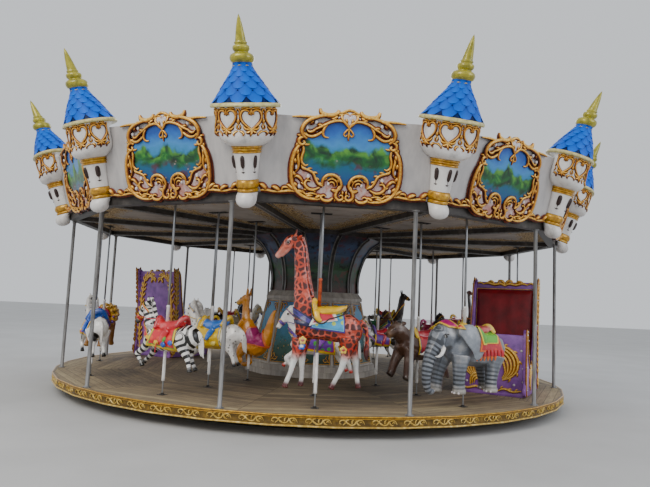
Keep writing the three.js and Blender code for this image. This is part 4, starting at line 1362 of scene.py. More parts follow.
horse("plumed_horse", 0, "middle", 1.0, coat="#ebe8e4", mane="#f0edea", hoof="#c83a2c",
    blanket=("#6a2c9c", "#48a83c", "#f0c92e", "#d83a2c"), strap="#5a3a9c", buckle="#e8c02c",
    saddle="#8c3ab4", roll="#d83a2c")
horse("draped_horse", -1, "middle", 1.0, "patches", drape=True, scale=16.0, share=0.25, coat="#e9e6e1",
    mane="#c8c4be", hoof="#1c1a18", mark="#8a8682", blanket=("#e3b90f", "#f0d448", "#f4e070",
    "#2f6fd0"), strap="#e0b80f", buckle="#2f6fd0", saddle="#2f78d8", roll="#e3b90f",
    gems=[(0.12, 1.10, "#1f6fd8"), (-0.18, 1.02, "#f4e070")])
horse("dark_pony", 4, "middle", 0.85, coat="#34242a", mane="#1a1214", hoof="#151112",
    blanket=("#b83a78", "#e068a0", "#e8c02c", "#8c1c2c"), strap="#d85c94", buckle="#e8c02c",
    saddle="#c82c5c", roll="#e068a0")
horse("chestnut_pony", 5, "middle", 0.85, coat="#6f3d22", mane="#3a1d10", hoof="#1a1411",
    blanket=("#2c6f4a", "#58a870", "#e8c02c", "#b8283a"), strap="#2c6f4a", buckle="#e8c02c",
    saddle="#3a7f58", roll="#e8c02c")
horse("white_pony", 6, "middle", 0.85, coat="#e4e0da", mane="#d8b46a", hoof="#8c6a3a",
    blanket=("#c82c3a", "#e86a58", "#f0c92e", "#2c58a8"), strap="#c82c3a", buckle="#e8c02c",
    saddle="#d8323a", roll="#f0c92e")
horse("cream_pony", 7, "middle", 0.85, coat="#cdbf9e", mane="#f0ead8", hoof="#4a3a28",
    blanket=("#3a4fa0", "#6a88d8", "#e8c02c", "#c8283a"), strap="#3a4fa0", buckle="#e8c02c",
    saddle="#4a5fb8", roll="#e8c02c")
horse("goat", -2, "inner", 0.72, coat="#d6d2cc", mane="#ebe8e2", hoof="#4a4440",
    blanket=("#c82c3a", "#e86a58", "#f0c92e", "#2c58a8"), strap="#b82838", buckle="#e8c02c",
    saddle="#b82838", roll="#f0c92e")
horse("pied_pony", 1, "inner", 0.72, "clouds", scale=3.0, share=0.5, coat="#e4e1dc", mane="#1c1a18",
    hoof="#1c1a18", mark="#1e1b19", blanket=("#6a3aa0", "#a05cc8", "#e8c02c", "#c8283a"),
    strap="#7c3aa8", buckle="#e8c02c", saddle="#c8283a", roll="#6a3aa0")

print("giraffe")

giraffeTint = "#c8462a"
pale = "#eceae6"
red = "#5c1018"


def giraffe():
    face = "#e08e7c"
    legTints = [giraffeTint, giraffeTint, pale, pale, pale, red, red]
    legMarks = [1.0, 0.9, 0.0, 0.0, 0.0, 0.0, 0.0]
    limbs = [
        limb(mm([(-610, 1420, 50), (-570, 1410, 140), (-470, 1395, 200), (-250, 1405, 198),
            (0, 1430, 200), (180, 1440, 215), (310, 1450, 150)]), giraffeTint, 0.84),
        limb(mm([(130, 1460, 205), (195, 1660, 165), (240, 1880, 125), (268, 2100, 103), (290, 2320, 90),
            (310, 2500, 84), (355, 2600, 75)]), giraffeTint, 0.8),
        limb(mm([(340, 2600, 75), (430, 2595, 85), (500, 2530, 70), (555, 2450, 54), (605, 2385, 47),
            (635, 2350, 36)]), [giraffeTint, giraffeTint, "#d86448", "#d87860", face, "#eab8a8"], 0.8,
            [1.0, 1.0, 0.6, 0.0, 0.0, 0.0]),
        limb(mm([(430, 2550, 50), (500, 2460, 45), (570, 2375, 30)]), [giraffeTint, face, face], 0.8, 0.0),
        *legsOf(mm([
            [(250, 1250, 120), (275, 1080, 78), (315, 955, 52), (350, 800, 36), (395, 680, 35),
                (412, 625, 40), (425, 580, 52)],
            [(200, 1250, 120), (210, 1080, 78), (205, 955, 52), (200, 800, 36), (200, 680, 35),
                (205, 625, 40), (210, 578, 52)],
            [(-420, 1280, 150), (-405, 1100, 98), (-370, 965, 56), (-320, 820, 38), (-255, 690, 35),
                (-225, 630, 40), (-205, 582, 52)],
            [(-450, 1280, 140), (-490, 1100, 98), (-540, 965, 56), (-560, 820, 38), (-580, 690, 35),
                (-590, 630, 40), (-600, 580, 52)]]), legTints, legMarks, (0.10, 0.10)),
        limb(mm([(-580, 1520, 30), (-660, 1440, 30), (-690, 1250, 28), (-680, 1080, 40),
            (-690, 970, 12)]), [giraffeTint, giraffeTint, giraffeTint, "#5a1810", "#3a100a"]),
        limb(mm([(100, 1700, 20), (105, 1860, 30), (155, 2080, 30), (190, 2300, 30), (225, 2500, 30),
            (280, 2660, 30)]), "#7c2a14", 0.5, 0.0),
    ]
    limbs += pair(mm([(385, 32, 2660, 24), (368, 38, 2715, 16), (360, 40, 2750, 20),
        (358, 40, 2762, 12)]), ["#cf5427", "#8c3018", "#3a1410", "#3a1410"], 1.0, 0.0)
    limbs += pair(mm([(335, 60, 2620, 22), (310, 115, 2645, 26), (290, 165, 2660, 8)]), giraffeTint,
        1.0, 0.0)
    skin = figureMesh(limbs, 0.013)
    coat = coatMaterial("giraffe_fibreglass_paint", "mosaic", "#4c140e", 11.5, 0.12)
    figure = [(skin, coat)]
    eyes(0.478, 0.062, 2.565, 0.02, figure)
    for side in (1, -1):
        figure.append((ball((0.632, side * 0.02, 2.375), (0.008, 0.006, 0.01), 4), eyeBlack))
    tack = []
    blanket = tackMaterial("giraffe_blanket", "#3f9ed0", "#b8cc58", "#4a3a94", "#7cc8e0", 0.02)
    redPad = tackMaterial("giraffe_red_pad", "#c8283c", "#c8283c", "#f0ece4", "#e8a0a8")
    belt = tackMaterial("giraffe_breast_strap", "#2c2c6c", "#4a3a94", "#1c1c48", "#4a3a94")
    tack.append((sliced(skin, [((0.12, 0, 1.4), (1.0, 0.0, 0.45)), ((-0.36, 0, 1.4), (-1.0, 0.0, 0.06)),
        ((0.0, 0, 1.385), (0.10, 0.0, -1.0))], 0.006, 0.012), blanket))
    tack.append((sliced(skin, [((0.10, 0, 1.5), (1.0, 0.0, 0.5)), ((-0.26, 0, 1.5), (-1.0, 0.0, 0.5)),
        ((0.0, 0, 1.455), (-0.18, 0.0, -1.0))], 0.018, 0.014), redPad))
    tack.append((strap(skin, (0.26, 0.0, 1.56), (0.52, 0.0, -0.9), 0.10,
        [((0.04, 0, 1.5), (-1.0, 0.0, 0.3))]), belt))
    tack.append((strap(skin, (0.30, 0.0, 1.47), (0.2, 0.0, -1.0), 0.05,
        [((0.10, 0, 1.5), (-1.0, 0.0, 0.0))]), belt))
    seat = "#eebd12"
    saddle = figureMesh([
        limb(mm([(-420, 0, 1700, 22), (-340, 0, 1675, 45), (-200, 0, 1630, 75), (-20, 0, 1615, 85),
            (60, 0, 1660, 50)]), seat, 1.7),
        limb(arch(mm([(60, 130, 1580, 30), (70, 90, 1700, 42), (70, 0, 1765, 50)])), seat),
        limb(arch(mm([(-370, 140, 1600, 22), (-410, 80, 1695, 28), (-430, 0, 1720, 30)])), "#2a1c14"),
    ] + pair(mm([(40, 140, 1620, 50), (30, 180, 1560, 45), (0, 200, 1510, 40), (-50, 205, 1500, 20)]),
        seat, 0.5), 0.012)
    tack.append((saddle, coatMaterial("giraffe_saddle_paint", rough=0.25)))
    outline = []
    for side in (1, -1):
        outline.append([(0.11, side * 0.10, 1.715, 0.009), (0.105, side * 0.165, 1.61, 0.011),
            (0.075, side * 0.212, 1.53, 0.011), (0.0, side * 0.226, 1.468, 0.011),
            (-0.07, side * 0.225, 1.475, 0.011), (-0.14, side * 0.212, 1.53, 0.011),
            (-0.26, side * 0.195, 1.565, 0.011), (-0.38, side * 0.16, 1.62, 0.011)])
    edge = tubes(outline, 1, 3)
    setLocal(edge)
    tack.append((edge, eyeBlack))
    rosettes = []
    for x, z, y, petal, heart in ((0.22, 1.15, 0.18, "#1f62c8", "#f0ece4"),
            (-0.35, 1.12, 0.19, "#e8c02c", "#a8202c"), (0.21, 1.23, 0.205, "#e8c02c", "#a8202c")):
        for turn in range(5):
            angle = math.radians(72 * turn + 18)
            spot = (x + 0.035 * math.cos(angle), y, z + 0.035 * math.sin(angle))
            rosettes += pair([(spot[0] - 0.02, y, spot[2], 0.014), (spot[0], y, spot[2], 0.026),
                (spot[0] + 0.02, y, spot[2], 0.014)], petal, 0.6)
        rosettes += pair([(x - 0.014, y + 0.01, z, 0.012), (x, y + 0.01, z, 0.018),
            (x + 0.014, y + 0.01, z, 0.012)], heart, 0.7)
    tack.append((figureMesh(rosettes, 0.009, 2), coatMaterial("giraffe_rosette_paint", rough=0.28)))
    sheathRed = mottled("giraffe_rod_enamel", [(0.3, "#8c2f16"), (0.6, "#c8572c")], 20.0, Roughness=0.35)
    addAnimal("giraffe", 0, "outer", figure, tack, 1.80, sheathRed)


giraffe()

print("elephant")


def elephant():
    grey, pad = "#7d838c", "#a9a49c"
    tusk = "#f1efe9"
    legs = [grey, grey, grey, grey, pad, pad]
    bands = [0.0, 0.5, 0.9, 0.9, 0.4, 0.0]
    limbs = [
        limb(mm([(-770, 1170, 70), (-710, 1170, 190), (-560, 1150, 262), (-300, 1150, 272),
            (0, 1170, 265), (200, 1200, 245), (320, 1240, 170)]), grey, 0.9, 0.0),
        limb(mm([(200, 1300, 150), (310, 1345, 205), (430, 1335, 205), (530, 1270, 135)]), grey, 0.86, 0.0),
        limb(mm([(475, 1365, 162), (540, 1265, 155), (600, 1180, 122), (650, 1100, 106), (705, 960, 90),
            (735, 810, 76), (735, 680, 65), (700, 580, 55), (640, 545, 47), (600, 575, 36)]), grey, 0.95,
            [1.0, 1.0, 1.0, 1.0, 1.0, 1.0, 1.0, 0.8, 0.3, 0.0]),
        *legsOf(mm([
            [(220, 1080, 150), (235, 920, 112), (245, 780, 94), (245, 650, 90), (240, 560, 102),
                (240, 520, 104)],
            [(240, 1080, 150), (320, 920, 112), (370, 780, 94), (400, 650, 90), (420, 560, 102),
                (425, 520, 104)],
            [(-480, 1060, 165), (-450, 900, 120), (-430, 760, 96), (-420, 640, 90), (-420, 560, 102),
                (-420, 520, 104)],
            [(-500, 1060, 165), (-545, 900, 120), (-575, 760, 96), (-600, 640, 90), (-620, 560, 102),
                (-625, 520, 104)]]), legs, bands, (0.155, 0.155)),
        limb(mm([(-740, 1280, 24), (-790, 1160, 20), (-785, 1000, 16), (-775, 880, 30), (-770, 830, 12)]),
            [grey, grey, grey, "#2c2a2a", "#2c2a2a"], 1.0, 0.0),
    ]
    limbs += pair(mm([(300, 185, 1440, 70), (190, 250, 1400, 150), (70, 305, 1280, 175),
        (30, 320, 1130, 130), (70, 300, 1020, 50)]), "#8e949c", 0.16, 0.0)
    limbs += pair(mm([(530, 135, 1190, 34), (600, 160, 1100, 30), (670, 165, 1060, 22),
        (735, 160, 1070, 8)]), tusk, 1.0, 0.0)
    skin = figureMesh(limbs, 0.014)
    coat = coatMaterial("elephant_fibreglass_paint", "stripes", "#33373d", 17.0, 0.45)
    figure = [(skin, coat)]
    eyes(0.515, 0.155, 1.345, 0.028, figure)
    for side in (1, -1):
        figure.append((ball((0.515, side * 0.168, 1.375), (0.05, 0.014, 0.012), 5), eyeBlack))
    for x, y in ((0.24, 0.155), (0.425, -0.155), (-0.42, 0.155), (-0.625, -0.155)):
        for turn in (-40, 0, 40):
            at = (x + 0.097 * math.cos(math.radians(turn)), y + 0.097 * math.sin(math.radians(turn)), 0.54)
            figure.append((ball(at, (0.014, 0.02, 0.02), 4), pearlWhite))
    redCloth = tackMaterial("elephant_red_cloth", "#c01f2c", "#d8442c", "#e8702c", "#c01f2c")
    green = tackMaterial("elephant_green_cloth", "#63b534", "#8ed048", "#f0d84a", "#3f9a2c")
    cap = tackMaterial("elephant_cap", "#b01a70", "#d83a8c", "#f0c84a", "#e8702c")
    tack = [(sliced(skin, [((0.02, 0, 1.2), (1.0, 0.0, 0.1)), ((-0.56, 0, 1.2), (-1.0, 0.0, 0.1)),
        ((-0.25, 0, 1.13), (0.05, 0.0, -1.0))], 0.006, 0.012), redCloth),
        (sliced(skin, [((0.0, 0, 1.3), (1.0, 0.0, -0.35)), ((-0.50, 0, 1.3), (-1.0, 0.0, -0.35)),
        ((-0.25, 0, 1.24), (0.0, 0.0, -1.0))], 0.02, 0.012), green),
        (sliced(skin, [((0.28, 0, 1.5), (-0.6, 0.0, 0.25)), ((0.45, 0, 1.46), (0.75, 0.0, -0.8)),
        ((0.3, 0, 1.455), (0.1, 0.0, -1.0))], 0.006, 0.02), cap)]
    fringe = []
    for side in (1, -1):
        for index in range(8):
            x = -0.54 + index * 0.077
            fringe.append([(x, side * 0.262, 1.15, 0.03), (x, side * 0.272, 1.10, 0.036),
                (x, side * 0.266, 1.04, 0.026), (x, side * 0.258, 1.0, 0.008)])
    drops = tubes(fringe, 2, 2)
    for vertex in drops.vertices:
        vertex.co.y = math.copysign(0.262, vertex.co.y) + (vertex.co.y - math.copysign(0.262,
            vertex.co.y)) * 0.55
    layer = drops.attributes.new("edge", "FLOAT", "POINT")
    for vertex in drops.vertices:
        layer.data[vertex.index].value = (vertex.co.z - 1.0) * 0.35
    tack.append((drops, redCloth))
    saddle = figureMesh([
        limb(mm([(-460, 0, 1455, 45), (-360, 0, 1430, 75), (-200, 0, 1425, 80), (-60, 0, 1445, 70),
            (0, 0, 1480, 40)]), "#c03a44", 2.0),
        limb(arch(mm([(-470, 160, 1400, 30), (-490, 80, 1475, 36), (-500, 0, 1500, 40)])), "#e8c23a"),
        limb(arch(mm([(10, 140, 1420, 26), (20, 70, 1490, 32), (25, 0, 1515, 35)])), "#e8c23a"),
    ], 0.014)
    tack.append((saddle, coatMaterial("elephant_saddle_paint", rough=0.3)))
    addAnimal("elephant", 1, "outer", figure, tack, 1.50)


elephant()

print("other animals")


# Blanket, straps and saddle. The blanket lies between (front, back) at a height and above a low edge.
def simpleTack(name, skin, blanketAt, strapAt, palette, saddleAt, size):
    front, back, high, low = blanketAt
    blanket = tackMaterial(name + "_blanket", *palette["blanket"])
    leather = tackMaterial(name + "_straps", palette["strap"], palette["buckle"], palette["buckle"],
        palette["strap"], 0.005)
    tack = [(sliced(skin, [((front, 0, high), (1.0, 0.0, 0.1)), ((back, 0, high), (-1.0, 0.0, 0.1)),
        ((0, 0, low), (0.1, 0.0, -1.0))]), blanket)]
    for spot, normal, wide in strapAt:
        tack.append((strap(skin, spot, normal, wide), leather))
    saddle = figureMesh(saddleLimbs(*saddleAt, size, palette), 0.015)
    tack.append((saddle, coatMaterial(name + "_saddle_paint", rough=0.28)))
    return tack


def lion():
    tan, gold = "#96611f", "#cf9a22"
    dark = "#6b4114"
    paw = [tan, tan, tan, tan, "#b07c34"]
    limbs = [
        limb(mm([(-530, 1130, 50), (-490, 1120, 120), (-360, 1090, 170), (-100, 1075, 165),
            (150, 1100, 182), (280, 1160, 160)]), tan, 0.86, 0.0),
        limb(mm([(200, 1240, 160), (300, 1300, 160), (420, 1330, 150), (530, 1325, 115), (600, 1285, 85),
            (645, 1262, 60)]), tan, 0.9, 0.0),
        *legsOf(mm([
            [(240, 1100, 95), (330, 950, 68), (390, 840, 58), (440, 730, 52), (490, 675, 62)],
            [(240, 1100, 95), (280, 930, 68), (295, 810, 58), (305, 700, 52), (345, 635, 62)],
            [(-360, 1090, 125), (-400, 940, 80), (-440, 820, 60), (-520, 710, 50), (-550, 655, 60)],
            [(-360, 1090, 125), (-340, 930, 80), (-340, 800, 60), (-400, 690, 50), (-410, 635, 60)]]),
                paw, 0.0, (0.11, 0.11)),
        limb(mm([(-460, 1120, 40), (-600, 1170, 30), (-670, 1300, 28), (-660, 1430, 30), (-660, 1490, 55),
            (-650, 1550, 20)]), [tan, tan, tan, tan, gold, gold], 1.0, 0.0),
    ]
    limbs += pair(mm([(400, 115, 1430, 40), (385, 125, 1475, 30)]), tan, 1.0, 0.0)
    for ring, (x, reach, count) in enumerate([(0.42, 0.15, 13), (0.33, 0.185, 14), (0.23, 0.19, 13),
            (0.13, 0.165, 11)]):
        for index in range(count):
            turn = (index + 0.5 * (ring % 2)) / count * math.tau
            across, rise = math.sin(turn), math.cos(turn)
            z = 1.31 - 0.02 * ring
            limbs.append(limb([
                (x + 0.03, across * reach * 0.55, z + rise * reach * 0.55, 0.035),
                (x - 0.01, across * reach * 0.95, z + rise * reach * 0.95, 0.046),
                (x - 0.07, across * reach * 1.25, z + rise * reach * 1.2 - 0.02, 0.036),
                (x - 0.13, across * reach * 1.32, z + rise * reach * 1.25 - 0.05, 0.010)],
                    [dark, gold, "#e0b23c", "#a87418"], 1.0, 0.0))
    skin = figureMesh(limbs, 0.015, 2)
    coat = coatMaterial("lion_fibreglass_paint", rough=0.35)
    figure = [(skin, coat), (ball((0.675, 0.0, 1.30), (0.025, 0.035, 0.022), 6), eyeBlack)]
    eyes(0.565, 0.085, 1.375, 0.017, figure)
    palette = {"blanket": ("#3f2c7c", "#6a4cb0", "#e0b02c", "#8c2c3c"), "strap": "#4a3488",
        "buckle": "#e0b02c", "saddle": "#4a3a9c", "roll": "#c82c3a"}
    tack = simpleTack("lion", skin, (0.04, -0.38, 1.1, 1.0), [], palette, (-0.10, 1.29), 0.95)
    addAnimal("lion", -3, "outer", figure, tack, 1.30)


def ostrich():
    black, skinTint, plume = "#2e2826", "#6b2c22", "#d8d3cc"
    shank = [black, "#7c4a3c", "#8c5a48", "#8c5a48", "#5a3428", "#5a3428"]
    limbs = [
        limb(mm([(-600, 1400, 40), (-500, 1340, 90), (-380, 1280, 150), (-200, 1235, 200),
            (50, 1220, 205), (200, 1260, 150), (270, 1310, 90)]), [plume, plume, black, black, black,
            black, black], 0.86, 0.0),
        limb(mm([(190, 1280, 100), (255, 1420, 66), (275, 1620, 50), (250, 1850, 44), (225, 2030, 42),
            (225, 2120, 45)]), [black, black, skinTint, black, black, black], 1.0, 0.0),
        limb(mm([(170, 2130, 40), (225, 2150, 58), (285, 2130, 45), (340, 2105, 26), (400, 2085, 14)]),
            [skinTint, skinTint, skinTint, "#a8603c", "#a8603c"], 0.9, 0.0),
        *legsOf(mm([
            [(20, 1140, 120), (-10, 990, 85), (-55, 840, 42), (-10, 710, 27), (45, 610, 26), (60, 575, 34)],
            [(30, 1140, 120), (60, 990, 85), (75, 840, 42), (130, 710, 27), (175, 610, 26),
                (190, 575, 34)]]), shank, 0.0, (0.09,)),
    ]
    for x, y in ((0.06, 0.09), (0.19, -0.09)):
        for swing in (-0.035, 0.025):
            limbs.append(limb([(x, y, 0.583, 0.024), (x + 0.06, y + swing, 0.575, 0.02),
                (x + 0.10, y + swing * 1.6, 0.567, 0.012)], "#4a2a20", 1.0, 0.0))
    for index in range(5):
        z = 1.20 + index * 0.045
        limbs += pair([(0.14 - index * 0.02, 0.15, z, 0.05), (-0.08, 0.185, z + 0.01, 0.055),
            (-0.28, 0.165, z + 0.035, 0.045), (-0.42 - index * 0.02, 0.12, z + 0.07, 0.015)],
            [black, black, "#463e3a", plume], 0.6, 0.0)
    for index in range(5):
        y = (index - 2) * 0.045
        limbs.append(limb([(-0.50, y, 1.37, 0.045), (-0.60, y * 1.5, 1.42, 0.04),
            (-0.65, y * 2.0, 1.36, 0.03), (-0.66, y * 2.2, 1.27, 0.01)], plume, 1.0, 0.0))
    skin = figureMesh(limbs, 0.014, 3)
    figure = [(skin, coatMaterial("ostrich_fibreglass_paint", rough=0.4))]
    eyes(0.245, 0.046, 2.165, 0.014, figure)
    palette = {"blanket": ("#b02030", "#d84a3c", "#e8c02c", "#2c5aa0"), "strap": "#b02030",
        "buckle": "#e8c02c", "saddle": "#c02838", "roll": "#e8c02c"}
    tack = simpleTack("ostrich", skin, (0.10, -0.28, 1.2, 1.13),
        [((0.262, 0.0, 1.50), (0.15, 0.0, 1.0), 0.03)], palette, (-0.06, 1.43), 0.9)
    addAnimal("ostrich", 4, "outer", figure, tack, 1.43)


def alpaca():
    wool, face = "#33251f", "#4a372c"
    leg = [wool, wool, wool, face, "#171210"]
    limbs = [
        limb(mm([(-600, 1330, 60), (-550, 1320, 140), (-420, 1290, 200), (-150, 1275, 195),
            (120, 1285, 200), (280, 1320, 180), (370, 1350, 100)]), wool, 0.9, 0.0),
        limb(mm([(220, 1340, 160), (300, 1500, 125), (335, 1680, 102), (360, 1860, 94),
            (380, 1980, 92)]), wool, 0.9, 0.0),
        limb(mm([(330, 2010, 75), (400, 2000, 88), (480, 1965, 68), (550, 1925, 50), (605, 1895, 42)]),
            [wool, wool, face, face, "#6b5240"], 0.85, 0.0),
        *legsOf(mm([
            [(220, 1240, 120), (235, 1050, 85), (250, 880, 62), (245, 720, 45), (240, 575, 45)],
            [(220, 1240, 120), (310, 1050, 85), (370, 900, 62), (380, 740, 45), (390, 595, 45)],
            [(-420, 1240, 130), (-420, 1050, 92), (-420, 890, 64), (-490, 730, 45), (-540, 575, 45)],
            [(-420, 1240, 130), (-360, 1050, 92), (-330, 890, 64), (-330, 730, 45), (-330, 575, 45)]]),
                leg, 0.0, (0.105, 0.105)),
        limb(mm([(-560, 1400, 50), (-640, 1340, 55), (-660, 1220, 45), (-640, 1130, 20)]), wool, 1.0, 0.0),
    ]
    limbs += pair(mm([(360, 45, 2070, 24), (345, 55, 2130, 22), (355, 50, 2180, 8)]), wool, 1.0, 0.0)
    for index in range(26):
        x = -0.52 + (index % 9) * 0.10
        z = 1.20 + (index // 9) * 0.11
        limbs += pair([(x, 0.165 - 0.025 * (index // 9), z, 0.05), (x - 0.03, 0.175 - 0.03 * (index // 9),
            z - 0.05, 0.035)], wool, 0.7, 0.0)
    skin = figureMesh(limbs, 0.018, 3)
    figure = [(skin, coatMaterial("alpaca_fibreglass_paint", rough=0.5))]
    eyes(0.46, 0.06, 2.01, 0.016, figure)
    palette = {"blanket": ("#2c4a9c", "#5a7cd0", "#e8c02c", "#c82838"), "strap": "#c82838",
        "buckle": "#e8c02c", "saddle": "#c82838", "roll": "#e8c02c"}
    tack = simpleTack("alpaca", skin, (0.16, -0.32, 1.3, 1.17),
        [((0.53, 0.0, 1.93), (0.8, 0.0, -0.5), 0.022)], palette, (-0.06, 1.49), 1.0)
    addAnimal("alpaca", 5, "outer", figure, tack, 1.50)


def bear():
    fur, snout = "#4f3222", "#7c5a40"
    leg = [fur, fur, fur, fur, "#2c1c14"]
    limbs = [
        limb(mm([(-570, 1120, 60), (-520, 1110, 140), (-400, 1085, 212), (-150, 1070, 205),
            (100, 1085, 205), (260, 1130, 190), (360, 1190, 140)]), fur, 0.9, 0.0),
        limb(mm([(270, 1220, 155), (370, 1300, 150), (450, 1345, 145), (520, 1335, 120), (590, 1300, 78),
            (645, 1275, 55)]), [fur, fur, fur, fur, snout, snout], 0.95, 0.0),
        *legsOf(mm([
            [(240, 1060, 130), (280, 900, 88), (300, 760, 75), (315, 640, 66), (350, 585, 70)],
            [(240, 1060, 130), (340, 910, 88), (400, 790, 75), (440, 680, 66), (480, 625, 70)],
            [(-380, 1060, 150), (-410, 900, 100), (-440, 770, 78), (-500, 650, 68), (-500, 595, 72)],
            [(-380, 1060, 150), (-360, 900, 100), (-345, 760, 78), (-360, 640, 68), (-335, 585, 72)]]),
                leg, 0.0, (0.125, 0.125)),
        limb(mm([(-560, 1200, 50), (-610, 1210, 45)]), fur, 1.0, 0.0),
    ]
    limbs += pair(mm([(400, 105, 1455, 45), (395, 115, 1500, 35)]), fur, 1.0, 0.0)
    skin = figureMesh(limbs, 0.016, 3)
    figure = [(skin, coatMaterial("bear_fibreglass_paint", rough=0.45)),
        (ball((0.69, 0.0, 1.30), (0.022, 0.03, 0.02), 6), eyeBlack)]
    eyes(0.565, 0.085, 1.375, 0.016, figure)
    palette = {"blanket": ("#b8283a", "#e05a4a", "#e8c02c", "#2c6f8c"), "strap": "#b8283a",
        "buckle": "#e8c02c", "saddle": "#b8283a", "roll": "#e8c02c"}
    tack = simpleTack("bear", skin, (0.12, -0.34, 1.1, 0.97), [], palette, (-0.08, 1.29), 1.0)
    addAnimal("bear", 1, "middle", figure, tack, 1.30)


def kangaroo():
    amber, pale = "#e09114", "#e8b452"
    limbs = [
        limb(mm([(-70, 760, 100), (-75, 860, 170), (-50, 980, 190), (0, 1120, 170), (55, 1270, 135),
            (100, 1420, 95), (120, 1560, 72), (120, 1700, 70)]), amber, 0.86, 0.0),
        limb(mm([(60, 1750, 60), (130, 1745, 85), (200, 1715, 70), (270, 1680, 52), (325, 1655, 42)]),
            [amber, amber, amber, pale, pale], 0.85, 0.0),
        *legsOf(mm([
            [(-20, 940, 130), (80, 840, 100), (140, 720, 62), (100, 640, 46), (190, 600, 44),
                (280, 605, 36)],
            [(-20, 940, 130), (40, 830, 100), (80, 700, 62), (40, 610, 46), (130, 565, 44),
                (220, 565, 36)]]), amber, 0.0, (0.11,)),
        limb(mm([(-120, 860, 150), (-240, 910, 135), (-340, 1050, 115), (-400, 1230, 85),
            (-440, 1400, 58), (-490, 1530, 34), (-530, 1560, 18)]), amber, 0.9, 0.0),
    ]
    limbs += pair(mm([(80, 90, 1370, 55), (150, 115, 1290, 40), (190, 110, 1220, 34),
        (260, 90, 1230, 30)]), amber, 1.0, 0.0)
    limbs += pair(mm([(85, 40, 1800, 26), (65, 55, 1880, 30), (70, 50, 1950, 10)]), amber, 1.0, 0.0)
    skin = figureMesh(limbs, 0.015, 4)
    for vertex in skin.vertices:    # room for the guide rod's end when the kangaroo is at its lowest
        if math.hypot(vertex.co.x, vertex.co.y) < 0.03 and vertex.co.z < 0.8:
            vertex.co.z = 0.83
    figure = [(skin, coatMaterial("kangaroo_fibreglass_paint", rough=0.33)),
        (ball((0.358, 0.0, 1.67), (0.016, 0.022, 0.016), 5), eyeBlack)]
    eyes(0.20, 0.062, 1.755, 0.017, figure)
    palette = {"blanket": ("#a81c6c", "#d04a94", "#e8702c", "#8c1458"), "strap": "#a81c6c",
        "buckle": "#e8c02c", "saddle": "#b01f72", "roll": "#d83a8c"}
    blanket = tackMaterial("kangaroo_blanket", *palette["blanket"])
    tack = [(sliced(skin, [((0.02, 0, 1.1), (1.0, 0.0, 0.25)), ((-0.37, 0, 1.05), (-1.0, 0.0, 0.35)),
        ((-0.2, 0, 0.93), (0.15, 0.0, -1.0)), ((0, 0, 1.24), (0.2, 0.0, 1.0))], 0.006, 0.014), blanket)]
    saddle = figureMesh([
        limb(mm([(0, 0, 1160, 100), (-80, 0, 1060, 115), (-180, 0, 1020, 120),
            (-280, 0, 1070, 110)]), "#b01f72", 1.25),
    ], 0.015)
    tack.append((saddle, coatMaterial("kangaroo_saddle_paint", rough=0.28)))
    addAnimal("kangaroo", -1, "inner", figure, tack, 1.22)


lion()
ostrich()
alpaca()
bear()
kangaroo()

print("chariots")

# Purple enamel over moulded panels, lighter where it is rubbed and with fine dust.
purplePaint = mottled("purple_enamel", [(0.3, "#683c88"), (0.5, "#8f56ac"), (0.75, "#aa74c4")], 4.0,
    6.0, 0.6, bump=(0.12, 0.004), fine=20.0, Roughness=0.35, Coat_Weight=0.3)

# Deep red leathercloth of the seats, with grain and a soft sheen.
redLeather = mottled("red_leathercloth", [(0.3, "#66040e"), (0.55, "#840614"), (0.8, "#980a1a")], 5.0,
    bump=(0.3, 0.0015), fine=160.0, Roughness=0.42)

